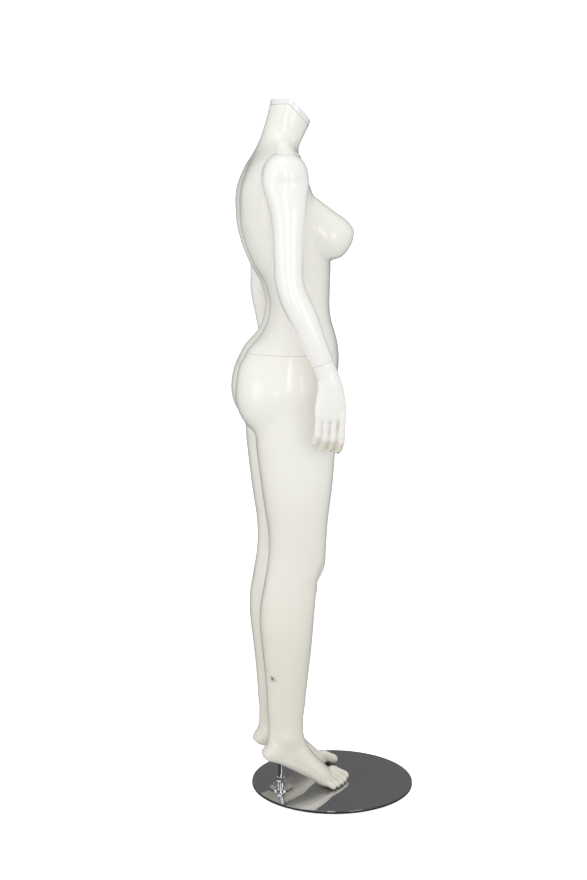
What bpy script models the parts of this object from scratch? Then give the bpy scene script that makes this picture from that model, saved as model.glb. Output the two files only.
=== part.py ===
"""A headless female display mannequin on a round steel base, as it comes apart on a bench.

Metres, +Z up. The origin is the centre of the base disc on the floor. The figure faces -Y, and its
right side is -X. The fibreglass skins are hollow and open at their seams, where steel fittings
close them. Every skin is cut from one closed figure, so the outlines meet at the seams.
"""

import math

import bmesh
import bpy
import numpy as np
from mathutils import Matrix, Vector

# ---------------------------------------------------------------- driving dimensions
BASE_RADIUS = 0.190
PAD_HEIGHT = 0.003
PLATE_THICKNESS = 0.006
PLATE_TOP = PAD_HEIGHT + PLATE_THICKNESS
GAP = 0.0003  # between two pieces that touch

MIDLINE_X = 0.025  # the figure's plane of symmetry, to the left of the base's centre
NECK_TOP_Z = 1.590
NECK_CAP_HEIGHT = 0.0125
WAIST_Z = 1.034  # the seam between the torso and the legs
SHOULDER_X = 0.150  # the arm seams, from the midline
WRIST = (0.2160, 0.0625, 1.0235)  # centre of the right wrist seam, from the midline
WRIST_ABOVE = (0.2130, 0.0830, 1.0835)  # a point on the forearm's axis above it
SHOULDER_Y = 0.132
SHOULDER_Z = 1.410
WAIST_PIVOT = Vector((MIDLINE_X, 0.093, WAIST_Z))
NECK_RIDGE = Vector((MIDLINE_X, 0.102, NECK_TOP_Z))  # where the cap's two faces meet
NECK_SLOPE = math.radians(44)  # the front face's fall

WALL = 0.0035  # fibreglass skin
PLATE = 0.004  # steel closing plates
FIT = 0.0010  # the least gap between a plate's edge and the skin
OUTER_FACES = 4200
INNER_FACES = 1200
HAND_FACES = 850

ROD_X = MIDLINE_X - 0.056
ROD_Y = 0.128
ROD_RADIUS = 0.0063
ROD_TOP = 0.172
FLANGE_RADIUS = 0.0280
FLANGE_THICKNESS = 0.004
HUB_RADIUS = 0.0125
HUB_TOP = 0.0250
SCREW_CIRCLE = 0.0205
NUT_ACROSS = 0.0190
NUT_HEIGHT = 0.0100
SOCKET_RADIUS = 0.0092
SOCKET_TOP = 0.180
CALF_HOLE = Vector((MIDLINE_X - 0.0885, 0.1535, 0.2815))
CALF_INWARD = Vector((0.56, -0.60, 0.57)).normalized()
RING_POINTS = 64
SECTION_STEP = 0.008  # between two rings of a limb

# ---------------------------------------------------------------- the figure's sections
# Height, half width, front, widest line and back (y), roundness, depth of the groove down the back.
TORSO = (
    (0.835, 0.100, 0.050, 0.105, 0.150, 2.1, 0.000),
    (0.870, 0.145, 0.016, 0.105, 0.172, 2.2, 0.004),
    (0.900, 0.160, 0.002, 0.108, 0.182, 2.3, 0.010),
    (0.940, 0.166, -0.003, 0.112, 0.196, 2.3, 0.014),
    (0.980, 0.164, -0.007, 0.112, 0.203, 2.3, 0.012),
    (1.015, 0.155, -0.012, 0.108, 0.200, 2.25, 0.009),
    (1.048, 0.143, -0.010, 0.104, 0.184, 2.2, 0.009),
    (1.082, 0.129, -0.001, 0.094, 0.163, 2.2, 0.010),
    (1.108, 0.120, 0.007, 0.088, 0.153, 2.2, 0.010),
    (1.140, 0.115, 0.010, 0.084, 0.150, 2.2, 0.010),
    (1.180, 0.117, 0.009, 0.086, 0.159, 2.2, 0.010),
    (1.230, 0.124, 0.008, 0.094, 0.187, 2.25, 0.010),
    (1.280, 0.132, 0.012, 0.104, 0.205, 2.3, 0.009),
    (1.330, 0.138, 0.026, 0.112, 0.214, 2.35, 0.007),
    (1.370, 0.142, 0.045, 0.122, 0.214, 2.4, 0.005),
    (1.400, 0.148, 0.058, 0.130, 0.210, 2.4, 0.004),
    (1.430, 0.156, 0.068, 0.134, 0.200, 2.3, 0.003),
    (1.452, 0.156, 0.076, 0.134, 0.190, 2.2, 0.002),
    (1.468, 0.134, 0.080, 0.132, 0.181, 2.0, 0.001),
    (1.482, 0.102, 0.081, 0.130, 0.174, 1.9, 0.000),
    (1.497, 0.074, 0.074, 0.124, 0.167, 1.9, 0.000),
    (1.515, 0.058, 0.064, 0.116, 0.160, 2.0, 0.000),
    (1.540, 0.053, 0.052, 0.106, 0.152, 2.0, 0.000),
    (1.570, 0.051, 0.044, 0.096, 0.144, 2.0, 0.000),
    (1.605, 0.050, 0.034, 0.086, 0.137, 2.0, 0.000),
)

# Height, distance from the midline, front and back (y), half width.
ARM = (
    (0.980, 0.2180, 0.017, 0.070, 0.0180),
    (1.004, 0.2170, 0.026, 0.076, 0.0185),
    (1.026, 0.2160, 0.034, 0.087, 0.0210),
    (1.061, 0.2140, 0.047, 0.105, 0.0265),
    (1.099, 0.2115, 0.060, 0.123, 0.0310),
    (1.134, 0.2085, 0.072, 0.141, 0.0335),
    (1.165, 0.2055, 0.086, 0.153, 0.0335),
    (1.190, 0.2030, 0.097, 0.158, 0.0325),
    (1.220, 0.1995, 0.100, 0.161, 0.0330),
    (1.250, 0.1965, 0.098, 0.163, 0.0345),
    (1.290, 0.1915, 0.096, 0.164, 0.0355),
    (1.338, 0.1845, 0.090, 0.168, 0.0375),
    (1.375, 0.1765, 0.086, 0.177, 0.0400),
    (1.405, 0.1700, 0.082, 0.183, 0.0410),
    (1.430, 0.1660, 0.084, 0.181, 0.0400),
    (1.452, 0.1620, 0.093, 0.172, 0.0345),
    (1.465, 0.1590, 0.107, 0.160, 0.0240),
    (1.471, 0.1580, 0.122, 0.148, 0.0100),
)
ELBOW_Y = 0.130
ELBOW_Z = 1.200
ELBOW_BLEND = 0.045  # above and below the elbow
LEFT_STRAIGHTER = math.radians(14.5)  # the left forearm hangs straighter than the right

LEG = (
    (0.097, 0.0565, 0.066, 0.163, 0.0290),
    (0.112, 0.0565, 0.064, 0.168, 0.0320),
    (0.140, 0.0560, 0.074, 0.160, 0.0325),
    (0.168, 0.0560, 0.075, 0.157, 0.0320),
    (0.205, 0.0565, 0.071, 0.160, 0.0340),
    (0.237, 0.0570, 0.068, 0.161, 0.0370),
    (0.290, 0.0585, 0.063, 0.165, 0.0425),
    (0.347, 0.0600, 0.057, 0.171, 0.0490),
    (0.414, 0.0620, 0.052, 0.177, 0.0535),
    (0.454, 0.0630, 0.050, 0.176, 0.0530),
    (0.508, 0.0640, 0.045, 0.169, 0.0515),
    (0.534, 0.0650, 0.038, 0.163, 0.0520),
    (0.562, 0.0665, 0.032, 0.158, 0.0530),
    (0.591, 0.0685, 0.029, 0.156, 0.0560),
    (0.628, 0.0720, 0.026, 0.158, 0.0610),
    (0.679, 0.0765, 0.020, 0.166, 0.0680),
    (0.733, 0.0800, 0.014, 0.174, 0.0735),
    (0.793, 0.0815, 0.010, 0.182, 0.0765),
    (0.826, 0.0820, 0.008, 0.186, 0.0785),
    (0.862, 0.0830, 0.005, 0.188, 0.0805),
    (0.900, 0.0830, 0.005, 0.186, 0.0800),
    (0.960, 0.0800, 0.030, 0.170, 0.0680),
)

# Length along the foot (y), distance from the midline, sole, top (z), half width.
FOOT = (
    (-0.020, 0.0560, 0.0150, 0.031, 0.0290),
    (-0.010, 0.0560, 0.0110, 0.039, 0.0360),
    (0.002, 0.0560, 0.0096, 0.046, 0.0375),
    (0.016, 0.0560, 0.0096, 0.056, 0.0375),
    (0.032, 0.0560, 0.0140, 0.069, 0.0355),
    (0.050, 0.0560, 0.0250, 0.089, 0.0340),
    (0.070, 0.0560, 0.0360, 0.115, 0.0325),
    (0.090, 0.0560, 0.0470, 0.140, 0.0315),
    (0.115, 0.0560, 0.0610, 0.160, 0.0310),
    (0.140, 0.0560, 0.0740, 0.160, 0.0300),
    (0.158, 0.0560, 0.0800, 0.145, 0.0255),
    (0.168, 0.0560, 0.0870, 0.128, 0.0175),
    (0.172, 0.0560, 0.0970, 0.118, 0.0080),
)
# Each toe's root and tip, as distance from the midline and y, and its radius, from the big toe out.
TOES = (
    (0.035, 0.000, 0.034, -0.029, 0.0115),
    (0.050, -0.004, 0.050, -0.026, 0.0088),
    (0.062, -0.003, 0.063, -0.020, 0.0083),
    (0.074, 0.001, 0.075, -0.011, 0.0078),
    (0.085, 0.009, 0.086, 0.002, 0.0075),
)
HEEL_Y = 0.128  # the feet turn out about the heels
TOE_OUT = {-1: 0.0, 1: math.radians(15)}

# Height, distance from the midline, front and back (y), half thickness.
PALM = (
    (0.886, 0.2180, 0.012, 0.076, 0.0100),
    (0.897, 0.2190, 0.009, 0.0785, 0.0130),
    (0.915, 0.2195, 0.008, 0.0780, 0.0145),
    (0.940, 0.2195, 0.010, 0.0755, 0.0155),
    (0.966, 0.2190, 0.014, 0.0715, 0.0165),
    (0.986, 0.2180, 0.0195, 0.0705, 0.0180),
    (1.004, 0.2170, 0.026, 0.0760, 0.0185),
    (1.026, 0.2160, 0.034, 0.0870, 0.0210),
    (1.061, 0.2140, 0.047, 0.1050, 0.0265),
)
# Knuckle (y, z), the three bones' lengths and the knuckle's radius, from the index finger back.
FINGERS = (
    (0.0175, 0.899, (0.045, 0.024, 0.018), 0.0095),
    (0.0350, 0.905, (0.046, 0.026, 0.018), 0.0097),
    (0.0525, 0.903, (0.042, 0.024, 0.017), 0.0092),
    (0.0680, 0.902, (0.032, 0.018, 0.014), 0.0082),
)
KNUCKLE_OUT = 0.2190
FINGER_CURL = (math.radians(9), math.radians(42), math.radians(66))
THUMB = (
    (0.213, 0.030, 0.975, 0.0140),
    (0.196, 0.022, 0.940, 0.0120),
    (0.189, 0.020, 0.908, 0.0098),
    (0.190, 0.022, 0.880, 0.0080),
)
BREAST = ((0.075, 0.028, 1.290, 0.0560), (0.068, 0.111, 1.374, 0.0380))
SHOULDER_BONE = ((0.095, 0.132, 1.420, 0.0440), (0.165, 0.132, 1.4215, 0.0490))
BUTTOCK_CENTRE = (0.075, 0.148, 0.938)
BUTTOCK_SIZE = (0.078, 0.080, 0.100)
LEFT_HIP_FORWARD = 0.008
LEFT_LEG_BACK = 0.007


# ---------------------------------------------------------------- small tools
def clear_scene():
    for obj in list(bpy.data.objects):
        bpy.data.objects.remove(obj)


def material(name, colour, roughness, metallic=0.0):
    made = bpy.data.materials.new(name)
    made.use_nodes = True
    shader = made.node_tree.nodes["Principled BSDF"]
    shader.inputs["Base Color"].default_value = (*colour, 1.0)
    shader.inputs["Roughness"].default_value = roughness
    shader.inputs["Metallic"].default_value = metallic
    return made


def add_object(name, mesh, finish=None):
    obj = bpy.data.objects.new(name, mesh)
    bpy.context.scene.collection.objects.link(obj)
    if finish:
        mesh.materials.clear()
        mesh.materials.append(finish)
    return obj


def mesh_from(name, points, faces):
    mesh = bpy.data.meshes.new(name)
    mesh.from_pydata([tuple(p) for p in points], [], faces)
    return mesh


def settled(obj):
    """The object with its modifiers applied."""
    bpy.context.view_layer.update()
    graph = bpy.context.evaluated_depsgraph_get()
    mesh = bpy.data.meshes.new_from_object(obj.evaluated_get(graph))
    obj.modifiers.clear()
    obj.data = mesh
    return obj


def smooth_curve(keys, at):
    """A monotone cubic through the rows of keys, read at positions in their first column."""
    keys = np.array(keys, float)
    x, y = keys[:, 0], keys[:, 1:]
    h = np.diff(x)[:, None]
    slope = np.diff(y, axis=0) / h
    before, after = slope[:-1], slope[1:]
    same = before * after > 0
    w1, w2 = 2 * h[1:] + h[:-1], h[1:] + 2 * h[:-1]
    harmonic = (w1 + w2) / (w1 / np.where(same, before, 1) + w2 / np.where(same, after, 1))
    tangent = np.vstack([slope[:1], np.where(same, harmonic, 0), slope[-1:]])
    i = np.clip(np.searchsorted(x, at) - 1, 0, len(x) - 2)
    t = ((at - x[i]) / (x[i + 1] - x[i]))[:, None]
    return (
        (2 * t**3 - 3 * t**2 + 1) * y[i]
        + (t**3 - 2 * t**2 + t) * h[i] * tangent[i]
        + (3 * t**2 - 2 * t**3) * y[i + 1]
        + (t**3 - t**2) * h[i] * tangent[i + 1]
    )


def stations(keys, step):
    first, last = keys[0][0], keys[-1][0]
    return np.linspace(first, last, max(2, round((last - first) / step)) + 1)


def oval(power, count=RING_POINTS):
    """Unit superellipse: cosine and sine of each point, pushed out by power."""
    angle = np.linspace(0, 2 * math.pi, count, endpoint=False)
    c, s = np.cos(angle), np.sin(angle)
    return np.sign(c) * abs(c) ** (2 / power), np.sign(s) * abs(s) ** (2 / power)


def loft(name, rings):
    """A closed tube through the rings, each a list of as many points."""
    count, points = len(rings[0]), [p for ring in rings for p in ring]
    faces = []
    for r in range(len(rings) - 1):
        for k in range(count):
            a, b = r * count + k, r * count + (k + 1) % count
            faces.append((a, b, b + count, a + count))
    faces.append(tuple(reversed(range(count))))
    last = (len(rings) - 1) * count
    faces.append(tuple(range(last, last + count)))
    obj = add_object(name, mesh_from(name, points, faces))
    face_outwards(obj.data)
    return obj


def face_outwards(mesh):
    work = bmesh.new()
    work.from_mesh(mesh)
    bmesh.ops.recalc_face_normals(work, faces=work.faces)
    work.to_mesh(mesh)
    work.free()


def ball(name, centre, size, rings=24):
    """An ellipsoid with three half sizes."""
    work = bmesh.new()
    bmesh.ops.create_uvsphere(work, u_segments=2 * rings, v_segments=rings, radius=1.0)
    bmesh.ops.scale(work, vec=size, verts=work.verts)
    bmesh.ops.translate(work, vec=centre, verts=work.verts)
    mesh = bpy.data.meshes.new(name)
    work.to_mesh(mesh)
    work.free()
    return add_object(name, mesh)


def round_bone(name, start, start_radius, end, end_radius):
    """The hull of two balls: a tapered rod with round ends."""
    work = bmesh.new()
    for centre, radius in ((start, start_radius), (end, end_radius)):
        made = bmesh.ops.create_icosphere(work, subdivisions=3, radius=radius)
        bmesh.ops.translate(work, vec=Vector(centre), verts=made["verts"])
    hull = bmesh.ops.convex_hull(work, input=work.verts)
    inside = {v for v in hull["geom_interior"] if isinstance(v, bmesh.types.BMVert)}
    bmesh.ops.delete(work, geom=list(inside), context="VERTS")
    mesh = bpy.data.meshes.new(name)
    work.to_mesh(mesh)
    work.free()
    obj = add_object(name, mesh)
    face_outwards(mesh)
    return obj


def drop(objects):
    for obj in objects:
        bpy.data.objects.remove(obj)


def fused(name, objects, voxel, smoothing):
    """One closed skin round all the objects, with its creases softened."""
    work = bmesh.new()
    for obj in objects:
        work.from_mesh(obj.data)
    mesh = bpy.data.meshes.new(name)
    work.to_mesh(mesh)
    work.free()
    drop(objects)
    whole = add_object(name, mesh)
    remesh = whole.modifiers.new("skin", "REMESH")
    remesh.mode = "VOXEL"
    remesh.voxel_size = voxel
    remesh.adaptivity = 0
    if smoothing:
        soften = whole.modifiers.new("soften", "SMOOTH")
        soften.factor = 0.5
        soften.iterations = smoothing
    return settled(whole)


# ---------------------------------------------------------------- the figure's masses
def torso_mass():
    rings = []
    at = stations(TORSO, SECTION_STEP)
    for z, (half, front, mid, back, power, groove) in zip(at, smooth_curve(TORSO, at)):
        c, s = oval(power)
        x = half * c
        y = mid + np.where(s < 0, (mid - front) * s, (back - mid) * s)
        y -= np.where(s > 0, groove * np.exp(-((x / 0.022) ** 2)), 0)
        rings.append(np.column_stack([x + MIDLINE_X, y, np.full_like(x, z)]))
    return loft("torso_mass", rings)


def straightened(points, side):
    """The left arm below the elbow, turned back about the elbow."""
    points = np.array(points, float)
    if side < 0:
        return points
    share = np.clip((ELBOW_Z + ELBOW_BLEND - points[:, 2]) / (2 * ELBOW_BLEND), 0, 1)
    angle = LEFT_STRAIGHTER * share * share * (3 - 2 * share)
    y, z = points[:, 1] - ELBOW_Y, points[:, 2] - ELBOW_Z
    points[:, 1] = ELBOW_Y + y * np.cos(angle) - z * np.sin(angle)
    points[:, 2] = ELBOW_Z + y * np.sin(angle) + z * np.cos(angle)
    return points


def arm_mass(name, keys, side):
    rings = []
    at = stations(keys, SECTION_STEP)
    for z, (out, front, back, half) in zip(at, smooth_curve(keys, at)):
        c, s = oval(2.1)
        x = MIDLINE_X + side * out + half * c
        y = (front + back) / 2 + (back - front) / 2 * s
        rings.append(straightened(np.column_stack([x, y, np.full_like(x, z)]), side))
    return loft(name, rings)


def leg_shift(side, z):
    """The left leg stands a little further back below the hip."""
    share = min(1.0, max(0.0, (0.90 - z) / 0.30))
    return LEFT_LEG_BACK * share if side > 0 else 0.0


def leg_mass(side):
    rings = []
    at = stations(LEG, SECTION_STEP)
    for z, (out, front, back, half) in zip(at, smooth_curve(LEG, at)):
        c, s = oval(2.1)
        x = MIDLINE_X + side * out + half * c
        y = (front + back) / 2 + (back - front) / 2 * s + leg_shift(side, z)
        rings.append(np.column_stack([x, y, np.full_like(x, z)]))
    return loft("leg_mass", rings)


def turned_out(points, side):
    """Points of a foot, turned out about its heel and set under its leg."""
    points = np.array(points, float)
    angle = -side * TOE_OUT[side]
    centre = MIDLINE_X + side * 0.056
    x, y = points[:, 0] - centre, points[:, 1] - HEEL_Y
    points[:, 0] = centre + x * math.cos(angle) + y * math.sin(angle)
    points[:, 1] = HEEL_Y - x * math.sin(angle) + y * math.cos(angle) + leg_shift(side, 0)
    return points


def foot_mass(side):
    rings = []
    at = stations(FOOT, 0.006)
    for y, (out, sole, top, half) in zip(at, smooth_curve(FOOT, at)):
        round_c, over = oval(2.0)
        flat_c, under = oval(3.0)
        middle = sole + 0.42 * (top - sole)
        x = MIDLINE_X + side * out + half * np.where(under < 0, flat_c, round_c)
        z = middle + np.where(under < 0, (middle - sole) * under, (top - middle) * over)
        rings.append(turned_out(np.column_stack([x, np.full_like(x, y), z]), side))
    return loft("foot_mass", rings)


def toe_masses(side):
    made = []
    for out, y0, tip_out, y1, radius in TOES:
        ends = (
            (MIDLINE_X + side * out, y0, PLATE_TOP + radius + 0.004),
            (MIDLINE_X + side * tip_out, y1, PLATE_TOP + GAP + radius * 0.92),
        )
        root, tip = turned_out(ends, side)
        made.append(round_bone("toe", root, radius * 1.1, tip, radius * 0.92))
    return made


def breast_mass(side):
    (x0, y0, z0, r0), (x1, y1, z1, r1) = BREAST
    low = (MIDLINE_X + side * x0, y0, z0)
    high = (MIDLINE_X + side * x1, y1, z1)
    return round_bone("breast", low, r0, high, r1)


def shoulder_mass(side):
    (x0, y0, z0, r0), (x1, y1, z1, r1) = SHOULDER_BONE
    near = (MIDLINE_X + side * x0, y0, z0)
    far = (MIDLINE_X + side * x1, y1, z1)
    return round_bone("shoulder", near, r0, far, r1)


def buttock_mass(side):
    x, y, z = BUTTOCK_CENTRE
    forward = LEFT_HIP_FORWARD if side > 0 else 0.0
    return ball("buttock", (MIDLINE_X + side * x, y - forward, z), BUTTOCK_SIZE)


def figure_masses(with_toes=True):
    masses = [torso_mass()]
    for side in (-1, 1):
        masses += [arm_mass("arm", ARM, side), leg_mass(side), foot_mass(side)]
        masses += [breast_mass(side), buttock_mass(side), shoulder_mass(side)]
        if with_toes:
            masses += toe_masses(side)
    return masses


def hand_bone(start, start_radius, end, end_radius, side):
    ends = [(MIDLINE_X + side * p[0], p[1], p[2]) for p in (start, end)]
    root, tip = straightened(ends, side)
    return round_bone("bone", root, start_radius, tip, end_radius)


def hand_masses(side):
    masses = [arm_mass("palm", PALM, side)]
    for y, z, lengths, radius in FINGERS:
        start = Vector((KNUCKLE_OUT, y, z))
        for length, curl in zip(lengths, FINGER_CURL):
            end = start + length * Vector((-math.sin(curl), 0.03, -math.cos(curl)))
            masses.append(hand_bone(start, radius, end, radius * 0.9, side))
            start, radius = end, radius * 0.9
    for (*start, r0), (*end, r1) in zip(THUMB, THUMB[1:]):
        masses.append(hand_bone(start, r0, end, r1, side))
    return masses



# ---------------------------------------------------------------- cutting the figure apart
def thinned(obj, faces):
    """Fewer triangles, kept where the surface bends."""
    reduce = obj.modifiers.new("thin", "DECIMATE")
    reduce.ratio = faces / sum(len(p.vertices) - 2 for p in obj.data.polygons)
    return settled(obj)


def shrunk(obj, name, distance):
    copy = add_object(name, obj.data.copy())
    inset = copy.modifiers.new("inset", "DISPLACE")
    inset.mid_level = 0
    inset.strength = -distance
    return settled(copy)


def clipped(obj, name, planes, near):
    """The part of a closed solid below every plane (point, normal) that lies nearest a point."""
    work = bmesh.new()
    work.from_mesh(obj.data)
    for point, normal in planes:
        every = work.verts[:] + work.edges[:] + work.faces[:]
        bmesh.ops.bisect_plane(
            work, geom=every, dist=1e-6, plane_co=point, plane_no=normal, clear_outer=True
        )
        rim = [e for e in work.edges if e.is_boundary]
        bmesh.ops.holes_fill(work, edges=rim, sides=0)
    keep = piece_nearest(work, Vector(near))
    bmesh.ops.delete(work, geom=[v for v in work.verts if v not in keep], context="VERTS")
    bmesh.ops.triangulate(work, faces=[f for f in work.faces if len(f.verts) > 4])
    bmesh.ops.recalc_face_normals(work, faces=work.faces)
    mesh = bpy.data.meshes.new(name)
    work.to_mesh(mesh)
    work.free()
    return add_object(name, mesh)


def closing_plate(inner, name, planes, centre, radius):
    """A plate across the cavity, drawn in by FIT at the radius where the skin comes nearest."""
    centre = Vector(centre)
    small = add_object("small", inner.data.copy())
    draw_in = Matrix.Scale(1 - FIT / radius, 4)
    small.data.transform(Matrix.Translation(centre) @ draw_in @ Matrix.Translation(-centre))
    plate = clipped(small, name, planes, centre)
    drop([small])
    return plate


def piece_nearest(work, near):
    left, best, best_distance = set(work.verts), None, None
    while left:
        piece, edge = set(), [next(iter(left))]
        while edge:
            vert = edge.pop()
            if vert in piece:
                continue
            piece.add(vert)
            edge += [e.other_vert(vert) for e in vert.link_edges]
        left -= piece
        distance = min((v.co - near).length for v in piece)
        if best is None or distance < best_distance:
            best, best_distance = piece, distance
    return best


def combined(target, tools, operation="DIFFERENCE"):
    """The target with every tool cut from it, or joined to it, for good."""
    for tool in tools:
        tool.hide_render = True
        tool.display_type = "WIRE"
        cut = target.modifiers.new(operation.lower(), "BOOLEAN")
        cut.operation = operation
        cut.solver = "EXACT"
        cut.object = tool
    settled(target)
    drop(tools)
    return target


def finished(obj, finish, origin, parent=None, smooth=32):
    """Material, shading, and the object's own origin on its joint or seat."""
    origin = Vector(origin)
    obj.data.materials.clear()
    obj.data.materials.append(finish)
    obj.data.transform(Matrix.Translation(-origin) @ obj.matrix_world)
    obj.matrix_world = Matrix.Translation(origin)
    obj.data.shade_smooth()
    obj.data.set_sharp_from_angle(angle=math.radians(smooth))
    if parent:
        obj.parent = parent
        obj.matrix_parent_inverse = parent.matrix_world.inverted()
    bpy.context.view_layer.update()
    return obj


# ---------------------------------------------------------------- turned and milled parts
def turned(name, profile, steps=32, closed=False):
    """A solid of revolution about Z. The profile runs down its outer side from top to bottom."""
    count = len(profile)
    edges = [(k, k + 1) for k in range(count - 1)]
    if closed:
        edges.append((count - 1, 0))
    mesh = bpy.data.meshes.new(name)
    mesh.from_pydata([(r, 0, z) for r, z in profile], edges, [])
    obj = add_object(name, mesh)
    screw = obj.modifiers.new("turn", "SCREW")
    screw.steps = steps
    screw.render_steps = steps
    screw.use_merge_vertices = True
    screw.merge_threshold = 0.00001
    settled(obj)
    face_outwards(obj.data)
    return obj


def rod(name, radius, low, high, steps=32):
    return turned(name, [(0, high), (radius, high), (radius, low), (0, low)], steps)


def block(name, size, centre):
    work = bmesh.new()
    bmesh.ops.create_cube(work, size=1.0)
    bmesh.ops.scale(work, vec=size, verts=work.verts)
    bmesh.ops.translate(work, vec=centre, verts=work.verts)
    mesh = bpy.data.meshes.new(name)
    work.to_mesh(mesh)
    work.free()
    return add_object(name, mesh)


def pose(obj, point, direction, turn=0.0):
    """Move a part built on +Z so that it stands on the point along the direction."""
    aim = Vector((0, 0, 1)).rotation_difference(Vector(direction)).to_matrix().to_4x4()
    obj.data.transform(Matrix.Translation(Vector(point)) @ aim @ Matrix.Rotation(turn, 4, "Z"))
    return obj


def bayonet_stud(name, shank, low, lug_low, top, lug_length, lug_width):
    """A round shank with a cross lug at its head."""
    stud = turned(
        name,
        [(0, top), (shank - 0.001, top), (shank, top - 0.001), (shank, low), (0, low)],
        16,
    )
    lug_high = top - 0.0015
    lug = block("lug", (lug_length, lug_width, lug_high - lug_low), (0, 0, (lug_low + lug_high) / 2))
    return combined(stud, [lug], "UNION")


def keyhole_cutter(radius, lug_length, lug_width, turn):
    """A round hole with a notch each side for the lugs, turned away from the locked position."""
    hole = rod("hole", radius, -0.02, 0.02, 16)
    notch = block("notch", (lug_length, lug_width, 0.039), (0, 0, 0))
    notch.data.transform(Matrix.Rotation(turn, 4, "Z"))
    return combined(hole, [notch], "UNION")


def hex_nut(name, across, bore, height, crowned=False):
    corner = across / math.sqrt(3)
    nut = turned(name, [(0, height), (corner, height), (corner, 0), (0, 0)], 6)
    if crowned:
        flat = across / 2 * 0.97
        fall = (corner - flat) * 0.6
        profile = [(0, height), (flat, height), (corner, height - fall), (corner, 0), (0, 0)]
        combined(nut, [turned("crown", profile, 24)], "INTERSECT")
    return combined(nut, [rod("bore", bore, -0.01, height + 0.01, 16)])


def around(angle, radius):
    return radius * math.cos(angle), radius * math.sin(angle)


# ---------------------------------------------------------------- the base
SCREW_ANGLES = [math.radians(a) for a in (90, 210, 330)]


def make_base(rubber, steel):
    mat_high = PAD_HEIGHT - GAP
    edge = BASE_RADIUS - 0.006
    mat = turned("base_mat", [(0, mat_high), (edge, mat_high), (edge, 0), (0, 0)], 48)
    finished(mat, rubber, (0, 0, 0))
    chamfer = 0.0012
    disc = turned(
        "base_disc",
        [(0, PLATE_TOP), (BASE_RADIUS - chamfer, PLATE_TOP), (BASE_RADIUS, PLATE_TOP - chamfer),
         (BASE_RADIUS, PAD_HEIGHT), (0, PAD_HEIGHT)],
        48,
    )
    holes = []
    for angle in SCREW_ANGLES:
        x, y = around(angle, SCREW_CIRCLE)
        hole = rod("tapped", 0.0023, PLATE_TOP - 0.0050, PLATE_TOP + 0.01, 8)
        holes.append(pose(hole, (ROD_X + x, ROD_Y + y, 0), (0, 0, 1)))
    combined(disc, holes)
    return finished(disc, steel, (0, 0, PAD_HEIGHT))


def make_flange(steel, base):
    low = PLATE_TOP + GAP
    flat = low + FLANGE_THICKNESS
    bore = ROD_RADIUS + GAP
    flange = turned(
        "base_flange",
        [(0, low + 0.0015), (bore, low + 0.0015), (bore, HUB_TOP), (HUB_RADIUS - 0.001, HUB_TOP),
         (HUB_RADIUS, HUB_TOP - 0.001), (HUB_RADIUS, flat + 0.002), (HUB_RADIUS + 0.002, flat),
         (FLANGE_RADIUS - 0.001, flat), (FLANGE_RADIUS, flat - 0.001), (FLANGE_RADIUS, low), (0, low)],
        24,
    )
    pose(flange, (ROD_X, ROD_Y, 0), (0, 0, 1))
    holes = []
    for angle in SCREW_ANGLES:
        x, y = around(angle, SCREW_CIRCLE)
        holes.append(pose(rod("way", 0.0026, 0, 0.03, 8), (ROD_X + x, ROD_Y + y, 0), (0, 0, 1)))
    combined(flange, holes)
    return finished(flange, steel, (ROD_X, ROD_Y, low), base)


def make_flange_screw(name, angle, steel, base):
    seat = PLATE_TOP + GAP + FLANGE_THICKNESS + GAP
    low = PLATE_TOP - 0.0045
    screw = turned(
        name,
        [(0, seat + 0.0024), (0.0028, seat + 0.0024), (0.0040, seat + 0.0010), (0.0040, seat),
         (0.0020, seat), (0.0020, low), (0, low)],
        12,
    )
    combined(screw, [turned("key", [(0, seat + 0.01), (0.0016, seat + 0.01), (0.0016, seat + 0.0010),
                                    (0, seat + 0.0010)], 6)])
    x, y = around(angle, SCREW_CIRCLE)
    pose(screw, (ROD_X + x, ROD_Y + y, 0), (0, 0, 1))
    return finished(screw, steel, (ROD_X + x, ROD_Y + y, seat), base)


def make_rod(steel, base):
    low = PLATE_TOP + GAP + 0.0015 + GAP
    post = turned(
        "foot_rod",
        [(0, ROD_TOP), (ROD_RADIUS - 0.0015, ROD_TOP), (ROD_RADIUS, ROD_TOP - 0.003),
         (ROD_RADIUS, low), (0, low)],
        24,
    )
    pose(post, (ROD_X, ROD_Y, 0), (0, 0, 1))
    return finished(post, steel, (ROD_X, ROD_Y, low), base)


def make_lock_nut(steel, base):
    nut = hex_nut("lock_nut", NUT_ACROSS, ROD_RADIUS + 0.0002, NUT_HEIGHT, crowned=True)
    pose(nut, (ROD_X, ROD_Y, HUB_TOP + GAP), (0, 0, 1))
    return finished(nut, steel, (ROD_X, ROD_Y, HUB_TOP + GAP), base)


# ---------------------------------------------------------------- the legs and their fittings
def make_legs(outer, inner, finish):
    top = WAIST_Z - GAP / 2
    legs = clipped(outer, "legs_shell", [((0, 0, top), (0, 0, 1))], (MIDLINE_X, 0.1, 0.9))
    heel = rod("heel_hole", SOCKET_RADIUS + 2 * GAP, 0, SOCKET_TOP - 0.01, 20)
    pose(heel, (ROD_X, ROD_Y, 0), (0, 0, 1))
    calf = pose(rod("calf_hole", 0.0075 + 2 * GAP, -0.03, 0.03, 16), CALF_HOLE, CALF_INWARD)
    hollow = add_object("hollow", inner.data.copy())
    combined(legs, [hollow])
    combined(legs, [heel, calf])
    return finished(legs, finish, (ROD_X, ROD_Y, PLATE_TOP), smooth=50)


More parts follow.
